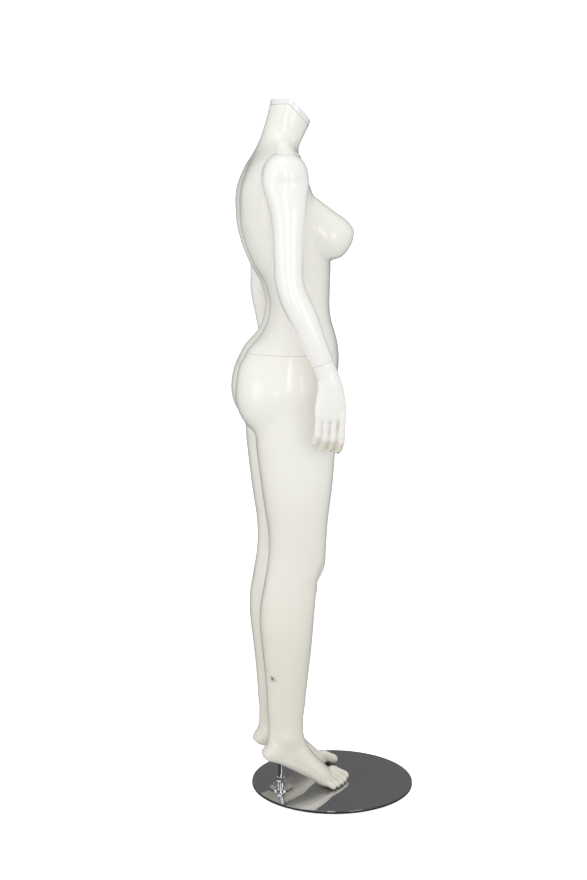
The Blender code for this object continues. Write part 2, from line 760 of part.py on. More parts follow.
def make_foot_socket(outer, steel, legs):
    """The tube in the right heel that drops over the rod, cut off along the sole."""
    bore = ROD_RADIUS + 0.0002
    end = ROD_TOP + GAP
    tube = turned(
        "foot_socket",
        [(0, SOCKET_TOP), (SOCKET_RADIUS - 0.001, SOCKET_TOP), (SOCKET_RADIUS, SOCKET_TOP - 0.001),
         (SOCKET_RADIUS, 0.01), (bore, 0.01), (bore, end), (0, end)],
        20,
    )
    pose(tube, (ROD_X, ROD_Y, 0), (0, 0, 1))
    trim = add_object("trim", outer.data.copy())
    combined(tube, [trim], "INTERSECT")
    return finished(tube, steel, (ROD_X, ROD_Y, end), legs)


def make_calf_socket(outer, steel, legs):
    tube = turned(
        "calf_socket",
        [(0, 0.050), (0.0075, 0.050), (0.0075, -0.03), (0.0055, -0.03), (0.0055, 0.047), (0, 0.047)],
        16,
    )
    pose(tube, CALF_HOLE, CALF_INWARD)
    trim = add_object("trim", outer.data.copy())
    combined(tube, [trim], "INTERSECT")
    return finished(tube, steel, CALF_HOLE, legs)


STUD_RADIUS = 0.0110
LUG = (0.040, 0.012)
UNLOCK = math.radians(30)  # the lugs line up with the notches here


def make_waist_lower(inner, steel, legs):
    high = WAIST_Z - GAP / 2
    low = high - PLATE
    planes = [((0, 0, high), (0, 0, 1)), ((0, 0, low), (0, 0, -1))]
    plate = closing_plate(inner, "waist_plate_lower", planes, WAIST_PIVOT, 0.080)
    combined(plate, [pose(rod("hole", STUD_RADIUS + GAP, -0.02, 0.02, 16), WAIST_PIVOT, (0, 0, 1))])
    finished(plate, steel, (WAIST_PIVOT.x, WAIST_PIVOT.y, low), legs)
    lug_low = GAP / 2 + PLATE + GAP
    stud = bayonet_stud("waist_stud", STUD_RADIUS, -0.018, lug_low, 0.013, *LUG)
    pose(stud, WAIST_PIVOT, (0, 0, 1))
    finished(stud, steel, WAIST_PIVOT, legs)
    nut = hex_nut("waist_nut", 0.032, STUD_RADIUS + GAP, 0.009)
    pose(nut, WAIST_PIVOT - Vector((0, 0, GAP / 2 + PLATE + GAP + 0.009)), (0, 0, 1))
    finished(nut, steel, WAIST_PIVOT - Vector((0, 0, 0.0136)), legs)


# ---------------------------------------------------------------- the torso and the neck
def neck_planes(down):
    """The two faces of the neck's end, lowered along their normals."""
    front = Vector((0, -math.sin(NECK_SLOPE), math.cos(NECK_SLOPE)))
    return [
        (NECK_RIDGE - Vector((0, 0, down)), Vector((0, 0, 1))),
        (NECK_RIDGE - front * down, front),
    ]


def make_torso(outer, inner, finish, legs):
    planes = [((0, 0, WAIST_Z + GAP / 2), (0, 0, -1))] + neck_planes(NECK_CAP_HEIGHT + GAP)
    for side in (-1, 1):
        edge = (MIDLINE_X + side * (SHOULDER_X - GAP / 2), 0, 0)
        planes.append((edge, (side, 0, 0)))
    torso = clipped(outer, "torso_shell", planes, (MIDLINE_X, 0.1, 1.3))
    combined(torso, [add_object("hollow", inner.data.copy())])
    return finished(torso, finish, WAIST_PIVOT, legs, smooth=50)


def make_waist_upper(inner, steel, torso):
    low = WAIST_Z + GAP / 2
    high = low + PLATE
    planes = [((0, 0, high), (0, 0, 1)), ((0, 0, low), (0, 0, -1))]
    plate = closing_plate(inner, "waist_plate_upper", planes, WAIST_PIVOT, 0.080)
    cutter = keyhole_cutter(STUD_RADIUS + GAP, LUG[0] + 0.0016, LUG[1] + 0.0016, UNLOCK)
    combined(plate, [pose(cutter, WAIST_PIVOT, (0, 0, 1))])
    return finished(plate, steel, (WAIST_PIVOT.x, WAIST_PIVOT.y, low), torso)


PEG_RADIUS = 0.008


def make_neck(outer, inner, steel, cap_finish, torso):
    seat = NECK_CAP_HEIGHT + GAP
    low = [(NECK_RIDGE - Vector((0, 0, 0.10)), Vector((0, 0, -1)))]
    plate = closing_plate(inner, "neck_plate", neck_planes(seat) + low, NECK_RIDGE, 0.035)
    combined(plate, [below_neck(seat + PLATE)])
    peg_at = NECK_RIDGE + Vector((0, 0.016, 0))
    combined(plate, [pose(rod("hole", PEG_RADIUS + GAP, -0.05, 0.05, 24), peg_at, (0, 0, 1))])
    finished(plate, steel, NECK_RIDGE - Vector((0, 0, seat)), torso)
    cap = clipped(outer, "neck_cap", neck_planes(0) + low, NECK_RIDGE)
    combined(cap, [below_neck(NECK_CAP_HEIGHT)])
    combined(cap, [pose(rod("hole", PEG_RADIUS + GAP, -0.06, -0.005, 24), peg_at, (0, 0, 1))])
    finished(cap, cap_finish, NECK_RIDGE - Vector((0, 0, NECK_CAP_HEIGHT)), torso, smooth=25)
    high, end = -0.005 - GAP, -NECK_CAP_HEIGHT - 0.030
    profile = [(0, high), (PEG_RADIUS, high), (PEG_RADIUS, end + 0.003), (PEG_RADIUS - 0.002, end), (0, end)]
    peg = pose(turned("neck_peg", profile, 24), peg_at, (0, 0, 1))
    finished(peg, steel, peg_at - Vector((0, 0, NECK_CAP_HEIGHT)), cap)


def below_neck(down):
    """A wide block that fills everything below the neck's two faces."""
    wide = block("wide", (0.4, 0.4, 0.8), (MIDLINE_X, 0.1, 1.3))
    trimmed = clipped(wide, "below_neck", neck_planes(down), (MIDLINE_X, 0.1, 1.0))
    drop([wide])
    return trimmed


# ---------------------------------------------------------------- the arms
def shoulder_point(side, off=0.0):
    return Vector((MIDLINE_X + side * (SHOULDER_X + off), SHOULDER_Y, SHOULDER_Z))


def wrist_frame(side):
    """The wrist seam's centre and the direction out of the forearm's end."""
    ends = [(MIDLINE_X + side * p[0], p[1], p[2]) for p in (WRIST_ABOVE, WRIST)]
    above, centre = (Vector(p) for p in straightened(ends, side))
    return centre, (centre - above).normalized()


ARM_STUD = 0.0080
ARM_LUG = (0.030, 0.009)
WRIST_STUD = 0.0055
WRIST_LUG = (0.0180, 0.0060)


def make_shoulder_plate(side, word, inner, steel, torso):
    outside = MIDLINE_X + side * (SHOULDER_X - GAP / 2)
    inside = outside - side * PLATE
    planes = [((outside, 0, 0), (side, 0, 0)), ((inside, 0, 0), (-side, 0, 0))]
    plate = closing_plate(inner, "shoulder_plate_" + word, planes, shoulder_point(side), 0.040)
    cutter = keyhole_cutter(ARM_STUD + GAP, ARM_LUG[0] + 0.0016, ARM_LUG[1] + 0.0016, math.radians(45))
    combined(plate, [pose(cutter, shoulder_point(side), (-side, 0, 0))])
    return finished(plate, steel, shoulder_point(side), torso)


def make_arm(side, word, outer, inner, skin, steel, torso):
    inside = MIDLINE_X + side * (SHOULDER_X + GAP / 2)
    wrist, down = wrist_frame(side)
    planes = [((inside, 0, 0), (-side, 0, 0)), (wrist - down * GAP / 2, down)]
    pivot = shoulder_point(side)
    elbow = (MIDLINE_X + side * 0.2, ELBOW_Y, ELBOW_Z)
    arm = clipped(outer, "arm_shell_" + word, planes, elbow)
    combined(arm, [add_object("hollow", inner.data.copy())])
    finished(arm, skin, pivot, torso, smooth=50)

    outside = inside + side * PLATE
    ends = [((inside, 0, 0), (-side, 0, 0)), ((outside, 0, 0), (side, 0, 0))]
    plate = closing_plate(inner, "arm_plate_" + word, ends, pivot, 0.040)
    combined(plate, [pose(rod("hole", ARM_STUD + GAP, -0.02, 0.02, 16), pivot, (side, 0, 0))])
    finished(plate, steel, pivot, arm)
    stud = bayonet_stud("arm_stud_" + word, ARM_STUD, -0.0145, GAP / 2 + PLATE + GAP, 0.0115, *ARM_LUG)
    finished(pose(stud, pivot, (-side, 0, 0)), steel, pivot, arm)
    nut = hex_nut("arm_nut_" + word, 0.024, ARM_STUD + GAP, 0.007)
    seat = pivot + Vector((side * (GAP / 2 + PLATE + GAP), 0, 0))
    finished(pose(nut, seat, (side, 0, 0)), steel, seat, arm)

    high = wrist - down * GAP / 2
    ends = [(high, down), (high - down * PLATE, -down)]
    socket = closing_plate(inner, "wrist_plate_" + word, ends, wrist, 0.015)
    cutter = keyhole_cutter(WRIST_STUD + GAP, WRIST_LUG[0] + 0.001, WRIST_LUG[1] + 0.001, math.radians(60))
    combined(socket, [pose(cutter, wrist, -down)])
    finished(socket, steel, wrist, arm)
    return arm


def make_hand(side, word, skin, steel, arm):
    wrist, down = wrist_frame(side)
    whole = thinned(fused("whole_hand", hand_masses(side), 0.003, 3), HAND_FACES)
    hand = clipped(whole, word + "_hand", [(wrist + down * GAP / 2, -down)], wrist + down * 0.05)
    drop([whole])
    combined(hand, [pose(rod("hole", WRIST_STUD + GAP, -0.025, 0.02, 16), wrist, -down)])
    finished(hand, skin, wrist, arm, smooth=50)
    lug_low = GAP / 2 + PLATE + GAP
    stud = bayonet_stud(
        "wrist_stud_" + word, WRIST_STUD, -0.025 + GAP, lug_low, lug_low + 0.0055, *WRIST_LUG
    )
    finished(pose(stud, wrist, -down), steel, wrist, hand)
    return hand


# ---------------------------------------------------------------- assembly
def build():
    clear_scene()
    ivory = material("ivory_gelcoat", (0.80, 0.78, 0.71), 0.25)
    lilac = material("neck_cap_gloss", (0.76, 0.75, 0.80), 0.20)
    chrome = material("chrome", (0.80, 0.80, 0.82), 0.08, 1.0)
    mirror = material("polished_steel", (0.62, 0.62, 0.64), 0.10, 1.0)
    zinc = material("zinc_steel", (0.55, 0.55, 0.56), 0.35, 1.0)
    rubber = material("black_rubber", (0.03, 0.03, 0.03), 0.80)

    fine = fused("figure", figure_masses(), 0.005, 12)
    core = shrunk(fused("core", figure_masses(False), 0.005, 12), "core_in", WALL)
    drop([bpy.data.objects["core"]])
    outer = thinned(fine, OUTER_FACES)
    inner = thinned(fused("inner", [core], 0.006, 8), INNER_FACES)

    base = make_base(rubber, mirror)
    make_flange(chrome, base)
    for number, angle in enumerate(SCREW_ANGLES, start=1):
        make_flange_screw(f"flange_screw_{number}", angle, chrome, base)
    make_rod(chrome, base)
    make_lock_nut(chrome, base)

    legs = make_legs(outer, inner, ivory)
    make_foot_socket(outer, zinc, legs)
    make_calf_socket(outer, zinc, legs)
    make_waist_lower(inner, zinc, legs)

    torso = make_torso(outer, inner, ivory, legs)
    make_waist_upper(inner, zinc, torso)
    make_neck(outer, inner, zinc, lilac, torso)
    for side, word in ((-1, "right"), (1, "left")):
        make_shoulder_plate(side, word, inner, zinc, torso)
        arm = make_arm(side, word, outer, inner, ivory, zinc, torso)
        make_hand(side, word, ivory, zinc, arm)
    drop([outer, inner])


build()
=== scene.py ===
"""The looks of the headless display mannequin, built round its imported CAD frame.

Metres, +Z up. The figure faces -Y and its right side is -X, as in the frame. The skins are sculpted
finer than the CAD's, from the same sections, and are cut at the same seams.
"""

import math

import bmesh
import bpy
import numpy as np
from mathutils import Matrix, Vector
from mathutils.bvhtree import BVHTree


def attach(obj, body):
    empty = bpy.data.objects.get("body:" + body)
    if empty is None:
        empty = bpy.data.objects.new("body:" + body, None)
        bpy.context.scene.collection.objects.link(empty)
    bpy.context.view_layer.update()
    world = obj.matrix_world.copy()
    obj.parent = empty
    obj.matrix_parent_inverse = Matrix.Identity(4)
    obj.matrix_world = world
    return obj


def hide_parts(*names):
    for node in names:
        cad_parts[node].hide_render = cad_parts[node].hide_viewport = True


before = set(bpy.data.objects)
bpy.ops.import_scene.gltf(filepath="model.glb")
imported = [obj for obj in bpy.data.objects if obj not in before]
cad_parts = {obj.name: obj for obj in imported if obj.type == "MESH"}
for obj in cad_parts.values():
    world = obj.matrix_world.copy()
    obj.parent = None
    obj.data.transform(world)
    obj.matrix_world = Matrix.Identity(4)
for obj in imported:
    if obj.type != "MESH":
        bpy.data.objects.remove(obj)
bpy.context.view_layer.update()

# ---------------------------------------------------------------- dimensions, as in the frame
GAP = 0.0003  # between any two pieces
PAD_HEIGHT = 0.003
PLATE_TOP = 0.009
MIDLINE_X = 0.025
NECK_TOP_Z = 1.590
NECK_CAP_HEIGHT = 0.0125
WAIST_Z = 1.034
SHOULDER_X = 0.150
WRIST = (0.2160, 0.0625, 1.0235)
WRIST_ABOVE = (0.2130, 0.0830, 1.0835)
NECK_RIDGE = Vector((MIDLINE_X, 0.102, NECK_TOP_Z))
NECK_SLOPE = math.radians(44)
WALL = 0.0035
BASE_RADIUS = 0.190
FOOT_OUT = 0.056  # of each foot's middle from the midline
HEEL_Y = 0.128  # the feet turn out about the heels
ROD_X = MIDLINE_X - FOOT_OUT
ROD_Y = HEEL_Y
ROD_RADIUS = 0.0063
ROD_TOP = 0.172
FLANGE_THICKNESS = 0.004
FLANGE_TOP = 0.0250
SCREW_CIRCLE = 0.0205
SCREW_ANGLES = [math.radians(a) for a in (90, 210, 330)]
HEEL_BORE = 0.0092
CALF_BORE = 0.0075
WRIST_BORE = 0.0055
CAP_PEG = 0.008
CAP_PEG_BACK = Vector((0, 0.016, 0))  # of the peg from the neck's ridge
CALF_HOLE = Vector((MIDLINE_X - 0.0885, 0.1535, 0.2815))
CALF_INWARD = Vector((0.56, -0.60, 0.57)).normalized()

RING_POINTS = 96
SECTION_STEP = 0.005
BODY_VOXEL = 0.0028
HAND_VOXEL = 0.0013
CORE_VOXEL = 0.006
UP = Vector((0, 0, 1))

# The rounded edge each side of a seam, and the line half way down it as shares of both.
SEAM_WIDTH = 0.0014
SEAM_DEPTH = 0.0007
SEAM_MIDWAY = (0.45, 0.32)

# ---------------------------------------------------------------- the figure's sections
# Height, half width, front, widest line and back (y), roundness, depth of the groove down the back.
TORSO = (
    (0.835, 0.100, 0.050, 0.105, 0.150, 2.1, 0.000),
    (0.870, 0.145, 0.016, 0.105, 0.172, 2.2, 0.004),
    (0.900, 0.160, 0.002, 0.108, 0.182, 2.3, 0.010),
    (0.940, 0.166, -0.003, 0.112, 0.196, 2.3, 0.014),
    (0.980, 0.164, -0.007, 0.112, 0.203, 2.3, 0.012),
    (1.015, 0.155, -0.012, 0.108, 0.200, 2.25, 0.009),
    (1.048, 0.143, -0.010, 0.104, 0.184, 2.2, 0.009),
    (1.082, 0.129, -0.001, 0.094, 0.163, 2.2, 0.010),
    (1.108, 0.120, 0.007, 0.088, 0.153, 2.2, 0.010),
    (1.140, 0.115, 0.010, 0.084, 0.150, 2.2, 0.010),
    (1.180, 0.117, 0.009, 0.086, 0.159, 2.2, 0.010),
    (1.230, 0.124, 0.008, 0.094, 0.187, 2.25, 0.010),
    (1.280, 0.132, 0.012, 0.104, 0.205, 2.3, 0.009),
    (1.330, 0.138, 0.026, 0.112, 0.214, 2.35, 0.007),
    (1.370, 0.142, 0.045, 0.122, 0.214, 2.4, 0.005),
    (1.400, 0.148, 0.058, 0.130, 0.210, 2.4, 0.004),
    (1.430, 0.156, 0.068, 0.134, 0.200, 2.3, 0.003),
    (1.452, 0.156, 0.076, 0.134, 0.190, 2.2, 0.002),
    (1.468, 0.134, 0.080, 0.132, 0.181, 2.0, 0.001),
    (1.482, 0.102, 0.081, 0.130, 0.174, 1.9, 0.000),
    (1.497, 0.074, 0.074, 0.124, 0.167, 1.9, 0.000),
    (1.515, 0.058, 0.064, 0.116, 0.160, 2.0, 0.000),
    (1.540, 0.053, 0.052, 0.106, 0.152, 2.0, 0.000),
    (1.570, 0.051, 0.044, 0.096, 0.144, 2.0, 0.000),
    (1.605, 0.050, 0.034, 0.086, 0.137, 2.0, 0.000),
)

# Height, distance from the midline, front and back (y), half width. LEG's rows say the same.
ARM = (
    (0.980, 0.2180, 0.017, 0.070, 0.0180),
    (1.004, 0.2170, 0.026, 0.076, 0.0185),
    (1.026, 0.2160, 0.034, 0.087, 0.0210),
    (1.061, 0.2140, 0.047, 0.105, 0.0265),
    (1.099, 0.2115, 0.060, 0.123, 0.0310),
    (1.134, 0.2085, 0.072, 0.141, 0.0335),
    (1.165, 0.2055, 0.086, 0.153, 0.0335),
    (1.190, 0.2030, 0.097, 0.158, 0.0325),
    (1.220, 0.1995, 0.100, 0.161, 0.0330),
    (1.250, 0.1965, 0.098, 0.163, 0.0345),
    (1.290, 0.1915, 0.096, 0.164, 0.0355),
    (1.338, 0.1845, 0.090, 0.168, 0.0375),
    (1.375, 0.1765, 0.086, 0.177, 0.0400),
    (1.405, 0.1700, 0.082, 0.183, 0.0410),
    (1.430, 0.1660, 0.084, 0.181, 0.0400),
    (1.452, 0.1620, 0.093, 0.172, 0.0345),
    (1.465, 0.1590, 0.107, 0.160, 0.0240),
    (1.471, 0.1580, 0.122, 0.148, 0.0100),
)
ELBOW_Y = 0.130
ELBOW_Z = 1.200
ELBOW_BLEND = 0.045  # above and below the elbow
LEFT_STRAIGHTER = math.radians(14.5)  # the left forearm hangs straighter than the right

LEG = (
    (0.097, 0.0565, 0.066, 0.165, 0.0290),
    (0.110, 0.0565, 0.066, 0.162, 0.0315),
    (0.124, 0.0562, 0.070, 0.158, 0.0322),
    (0.142, 0.0560, 0.074, 0.1565, 0.0325),
    (0.168, 0.0560, 0.075, 0.1565, 0.0320),
    (0.205, 0.0565, 0.071, 0.160, 0.0340),
    (0.237, 0.0570, 0.068, 0.161, 0.0370),
    (0.290, 0.0585, 0.063, 0.165, 0.0425),
    (0.347, 0.0600, 0.057, 0.171, 0.0490),
    (0.414, 0.0620, 0.052, 0.177, 0.0535),
    (0.454, 0.0630, 0.049, 0.176, 0.0530),
    (0.484, 0.0635, 0.0465, 0.172, 0.0520),
    (0.504, 0.0640, 0.0440, 0.169, 0.0510),
    (0.522, 0.0645, 0.0370, 0.1650, 0.0515),
    (0.540, 0.0650, 0.0310, 0.1610, 0.0525),
    (0.562, 0.0665, 0.0270, 0.158, 0.0530),
    (0.591, 0.0685, 0.0250, 0.156, 0.0560),
    (0.628, 0.0720, 0.0240, 0.158, 0.0610),
    (0.679, 0.0765, 0.020, 0.166, 0.0680),
    (0.733, 0.0800, 0.014, 0.174, 0.0735),
    (0.793, 0.0815, 0.010, 0.182, 0.0765),
    (0.826, 0.0820, 0.008, 0.186, 0.0785),
    (0.862, 0.0830, 0.005, 0.188, 0.0805),
    (0.900, 0.0830, 0.005, 0.186, 0.0800),
    (0.960, 0.0800, 0.030, 0.170, 0.0680),
)

# Length along the foot (y), distance from the midline, sole, top (z), half width.
FOOT = (
    (-0.010, 0.0410, 0.0150, 0.026, 0.0100),
    (-0.002, 0.0450, 0.0110, 0.034, 0.0200),
    (0.007, 0.0495, 0.0096, 0.043, 0.0285),
    (0.017, 0.0540, 0.0096, 0.053, 0.0355),
    (0.032, 0.0565, 0.0130, 0.068, 0.0375),
    (0.050, 0.0565, 0.0240, 0.088, 0.0355),
    (0.070, 0.0560, 0.0360, 0.115, 0.0325),
    (0.090, 0.0560, 0.0470, 0.140, 0.0315),
    (0.115, 0.0560, 0.0610, 0.158, 0.0310),
    (0.140, 0.0560, 0.0735, 0.150, 0.0300),
    (0.156, 0.0560, 0.0785, 0.120, 0.0270),
    (0.167, 0.0560, 0.0840, 0.108, 0.0200),
    (0.173, 0.0560, 0.0920, 0.101, 0.0090),
)
FOOT_STEP = 0.006
FOOT_WIDEST = 0.42  # of the way up from the sole
# Each toe's root and tip, as distance from the midline and y, and its radius, from the big toe out.
TOES = (
    (0.0355, 0.000, 0.0335, -0.029, 0.0114),
    (0.0515, 0.002, 0.0515, -0.0240, 0.0079),
    (0.0645, 0.008, 0.0665, -0.0150, 0.0075),
    (0.0765, 0.017, 0.0800, -0.0040, 0.0072),
    (0.0865, 0.029, 0.0915, 0.0080, 0.0070),
)
TOE_RISE = 0.014  # of a toe's root above its tip
TOE_ROOT, TOE_TIP = 1.1, 0.92  # the radius at a toe's two ends, as shares of its own
TOE_OUT = {-1: 0.0, 1: math.radians(15)}

# Height, distance from the midline, front and back (y), half thickness.
PALM = (
    (0.9000, 0.2195, 0.024, 0.064, 0.0030),
    (0.9030, 0.2195, 0.014, 0.074, 0.0065),
    (0.9100, 0.2195, 0.010, 0.0772, 0.0085),
    (0.922, 0.2195, 0.008, 0.0780, 0.0108),
    (0.942, 0.2195, 0.010, 0.0755, 0.0140),
    (0.966, 0.2190, 0.014, 0.0715, 0.0165),
    (0.986, 0.2180, 0.0195, 0.0705, 0.0180),
    (1.004, 0.2170, 0.026, 0.0760, 0.0185),
    (1.026, 0.2160, 0.034, 0.0870, 0.0210),
    (1.061, 0.2140, 0.047, 0.1050, 0.0265),
)
# Knuckle (y, z), the three bones' lengths and the knuckle's radius, from the index finger back.
FINGERS = (
    (0.0172, 0.914, (0.060, 0.024, 0.018), 0.0094),
    (0.0352, 0.921, (0.061, 0.027, 0.018), 0.0094),
    (0.0530, 0.919, (0.058, 0.024, 0.017), 0.0091),
    (0.0690, 0.914, (0.044, 0.018, 0.013), 0.0082),
)
KNUCKLE_OUT = 0.2205
KNUCKLE_SHARE, BONE_TAPER = 0.86, 0.95  # of the radius, at the knuckle and from bone to bone
FINGER_CURL = (math.radians(9), math.radians(42), math.radians(66))
THUMB = (
    (0.213, 0.030, 0.975, 0.0140),
    (0.196, 0.022, 0.940, 0.0120),
    (0.189, 0.020, 0.908, 0.0098),
    (0.190, 0.022, 0.880, 0.0080),
)
BREAST = ((0.075, 0.028, 1.290, 0.0560), (0.068, 0.111, 1.374, 0.0380))
SHOULDER_BONE = ((0.095, 0.132, 1.420, 0.0440), (0.165, 0.132, 1.4215, 0.0490))
BUTTOCK_CENTRE = (0.073, 0.147, 0.942)
BUTTOCK_SIZE = (0.087, 0.081, 0.096)
LEFT_HIP_FORWARD = 0.008
LEFT_LEG_BACK = 0.007


# ---------------------------------------------------------------- small tools
def add_object(name, data):
    obj = bpy.data.objects.new(name, data)
    bpy.context.scene.collection.objects.link(obj)
    return obj


def object_from(work, name):
    """An object with the mesh of work, which is freed."""
    mesh = bpy.data.meshes.new(name)
    work.to_mesh(mesh)
    work.free()
    return add_object(name, mesh)


def drop(objects):
    for obj in objects:
        bpy.data.objects.remove(obj)


def settle(obj):
    """Apply the object's modifiers."""
    bpy.context.view_layer.update()
    graph = bpy.context.evaluated_depsgraph_get()
    mesh = bpy.data.meshes.new_from_object(obj.evaluated_get(graph))
    obj.modifiers.clear()
    obj.data = mesh


def smooth_curve(keys, at):
    """A monotone cubic through the rows of keys, read at positions in their first column."""
    keys = np.array(keys, float)
    x, y = keys[:, 0], keys[:, 1:]
    h = np.diff(x)[:, None]
    slope = np.diff(y, axis=0) / h
    before, after = slope[:-1], slope[1:]
    same = before * after > 0
    w1, w2 = 2 * h[1:] + h[:-1], h[1:] + 2 * h[:-1]
    harmonic = (w1 + w2) / (w1 / np.where(same, before, 1) + w2 / np.where(same, after, 1))
    tangent = np.vstack([slope[:1], np.where(same, harmonic, 0), slope[-1:]])
    i = np.clip(np.searchsorted(x, at) - 1, 0, len(x) - 2)
    t = ((at - x[i]) / (x[i + 1] - x[i]))[:, None]
    return (
        (2 * t**3 - 3 * t**2 + 1) * y[i]
        + (t**3 - 2 * t**2 + t) * h[i] * tangent[i]
        + (3 * t**2 - 2 * t**3) * y[i + 1]
        + (t**3 - t**2) * h[i] * tangent[i + 1]
    )


def stations(keys, step):
    first, last = keys[0][0], keys[-1][0]
    return np.linspace(first, last, max(2, round((last - first) / step)) + 1)


def oval(power, count=RING_POINTS):
    """Unit superellipse: cosine and sine of each point, pushed out by power."""
    angle = np.linspace(0, 2 * math.pi, count, endpoint=False)
    c, s = np.cos(angle), np.sin(angle)
    return np.sign(c) * abs(c) ** (2 / power), np.sign(s) * abs(s) ** (2 / power)


def face_outwards(mesh):
    work = bmesh.new()
    work.from_mesh(mesh)
    bmesh.ops.recalc_face_normals(work, faces=work.faces)
    work.to_mesh(mesh)
    work.free()


def loft(name, rings):
    """A closed tube through the rings, each a list of as many points."""
    count, points = len(rings[0]), [p for ring in rings for p in ring]
    faces = []
    for r in range(len(rings) - 1):
        for k in range(count):
            a, b = r * count + k, r * count + (k + 1) % count
            faces.append((a, b, b + count, a + count))
    faces.append(tuple(reversed(range(count))))
    last = (len(rings) - 1) * count
    faces.append(tuple(range(last, last + count)))
    mesh = bpy.data.meshes.new(name)
    mesh.from_pydata([tuple(p) for p in points], [], faces)
    face_outwards(mesh)
    return add_object(name, mesh)


def ball(name, centre, size):
    """An ellipsoid with three half sizes."""
    work = bmesh.new()
    bmesh.ops.create_uvsphere(work, u_segments=64, v_segments=32, radius=1.0)
    bmesh.ops.scale(work, vec=size, verts=work.verts)
    bmesh.ops.translate(work, vec=centre, verts=work.verts)
    return object_from(work, name)


def round_bone(name, start, start_radius, end, end_radius):
    """The hull of two balls: a tapered rod with round ends."""
    work = bmesh.new()
    for centre, radius in ((start, start_radius), (end, end_radius)):
        made = bmesh.ops.create_icosphere(work, subdivisions=4, radius=radius)
        bmesh.ops.translate(work, vec=Vector(centre), verts=made["verts"])
    hull = bmesh.ops.convex_hull(work, input=work.verts)
    inside = {v for v in hull["geom_interior"] if isinstance(v, bmesh.types.BMVert)}
    bmesh.ops.delete(work, geom=list(inside), context="VERTS")
    obj = object_from(work, name)
    face_outwards(obj.data)
    return obj


def triples(items, key):
    """One vector per item of a mesh, as rows."""
    flat = np.empty(len(items) * 3)
    items.foreach_get(key, flat)
    return flat.reshape(-1, 3)


def coords(mesh):
    return triples(mesh.vertices, "co")


def set_coords(mesh, points):
    mesh.vertices.foreach_set("co", points.ravel())
    mesh.update()


def joined(name, objects):
    work = bmesh.new()
    for obj in objects:
        work.from_mesh(obj.data)
    drop(objects)
    return object_from(work, name)


def fused(name, objects, voxel, smoothing, keep=None):
    """One closed skin round all the objects, with its creases softened except where keep says."""
    whole = joined(name, objects)
    remesh = whole.modifiers.new("skin", "REMESH")
    remesh.mode = "VOXEL"
    remesh.voxel_size = voxel
    remesh.adaptivity = 0
    settle(whole)
    soften(whole, smoothing, keep)
    return whole


def soften(obj, times, keep=None):
    """Smooth the skin, less where keep(points) comes near 1."""
    modifier = obj.modifiers.new("soften", "SMOOTH")
    modifier.factor = 0.5
    modifier.iterations = times
    if keep is not None:
        group = obj.vertex_groups.new(name="soft")
        count = 20
        steps = np.round(np.clip(1 - keep(coords(obj.data)), 0, 1) * count).astype(int)
        for step in range(1, count + 1):
            picked = np.nonzero(steps == step)[0].tolist()
            if picked:
                group.add(picked, step / count, "REPLACE")
        modifier.vertex_group = "soft"
    settle(obj)
    obj.vertex_groups.clear()


def sculpt(obj, moves):
    """Push the skin out, or in, around points: (x, y, z), three reaches and an amount."""
    points, outward = coords(obj.data), triples(obj.data.vertex_normals, "vector")
    push = np.zeros(len(points))
    for centre, reach, amount in moves:
        near = (points - np.array(centre)) / np.array(reach)
        push += amount * np.exp(-(near**2).sum(1))
    set_coords(obj.data, points + outward * push[:, None])


def across(side, point):
    """A point given at a distance from the midline, set on the right (-1) or the left (1)."""
    x, y, z = point
    return MIDLINE_X + side * x, y, z


def both_sides(moves):
    """Moves given at a distance from the midline, for the right and the left."""
    return [(across(side, at), reach, amount) for at, reach, amount in moves for side in (-1, 1)]


def eased(share):
    return share * share * (3 - 2 * share)


# ---------------------------------------------------------------- the figure's masses
def torso_mass():
    rings = []
    at = stations(TORSO, SECTION_STEP)
    for z, (half, front, mid, back, power, groove) in zip(at, smooth_curve(TORSO, at)):
        c, s = oval(power)
        x = half * c
        y = mid + np.where(s < 0, (mid - front) * s, (back - mid) * s)
        y -= np.where(s > 0, groove * np.exp(-((x / 0.022) ** 2)), 0)
        rings.append(np.column_stack([x + MIDLINE_X, y, np.full_like(x, z)]))
    return loft("torso_mass", rings)


def straightened(points, side):
    """The left arm below the elbow, turned back about the elbow."""
    points = np.array(points, float)
    if side < 0:
        return points
    share = np.clip((ELBOW_Z + ELBOW_BLEND - points[:, 2]) / (2 * ELBOW_BLEND), 0, 1)
    angle = LEFT_STRAIGHTER * eased(share)
    y, z = points[:, 1] - ELBOW_Y, points[:, 2] - ELBOW_Z
    points[:, 1] = ELBOW_Y + y * np.cos(angle) - z * np.sin(angle)
    points[:, 2] = ELBOW_Z + y * np.sin(angle) + z * np.cos(angle)
    return points


def set_back(points, side):
    """The left leg, which stands a little further back below the hip."""
    if side > 0:
        points[:, 1] += LEFT_LEG_BACK * np.clip((0.90 - points[:, 2]) / 0.30, 0, 1)
    return points


def limb_mass(name, keys, side, placed):
    rings = []
    at = stations(keys, SECTION_STEP)
    for z, (out, front, back, half) in zip(at, smooth_curve(keys, at)):
        c, s = oval(2.1)
        x = MIDLINE_X + side * out + half * c
        y = (front + back) / 2 + (back - front) / 2 * s
        rings.append(placed(np.column_stack([x, y, np.full_like(x, z)]), side))
    return loft(name, rings)


def turned_out(points, side):
    """Points of a foot, turned out about its heel and set under its leg."""
    points = np.array(points, float)
    angle = -side * TOE_OUT[side]
    centre = MIDLINE_X + side * FOOT_OUT
    x, y = points[:, 0] - centre, points[:, 1] - HEEL_Y
    points[:, 0] = centre + x * math.cos(angle) + y * math.sin(angle)
    points[:, 1] = HEEL_Y - x * math.sin(angle) + y * math.cos(angle)
    return set_back(points, side)


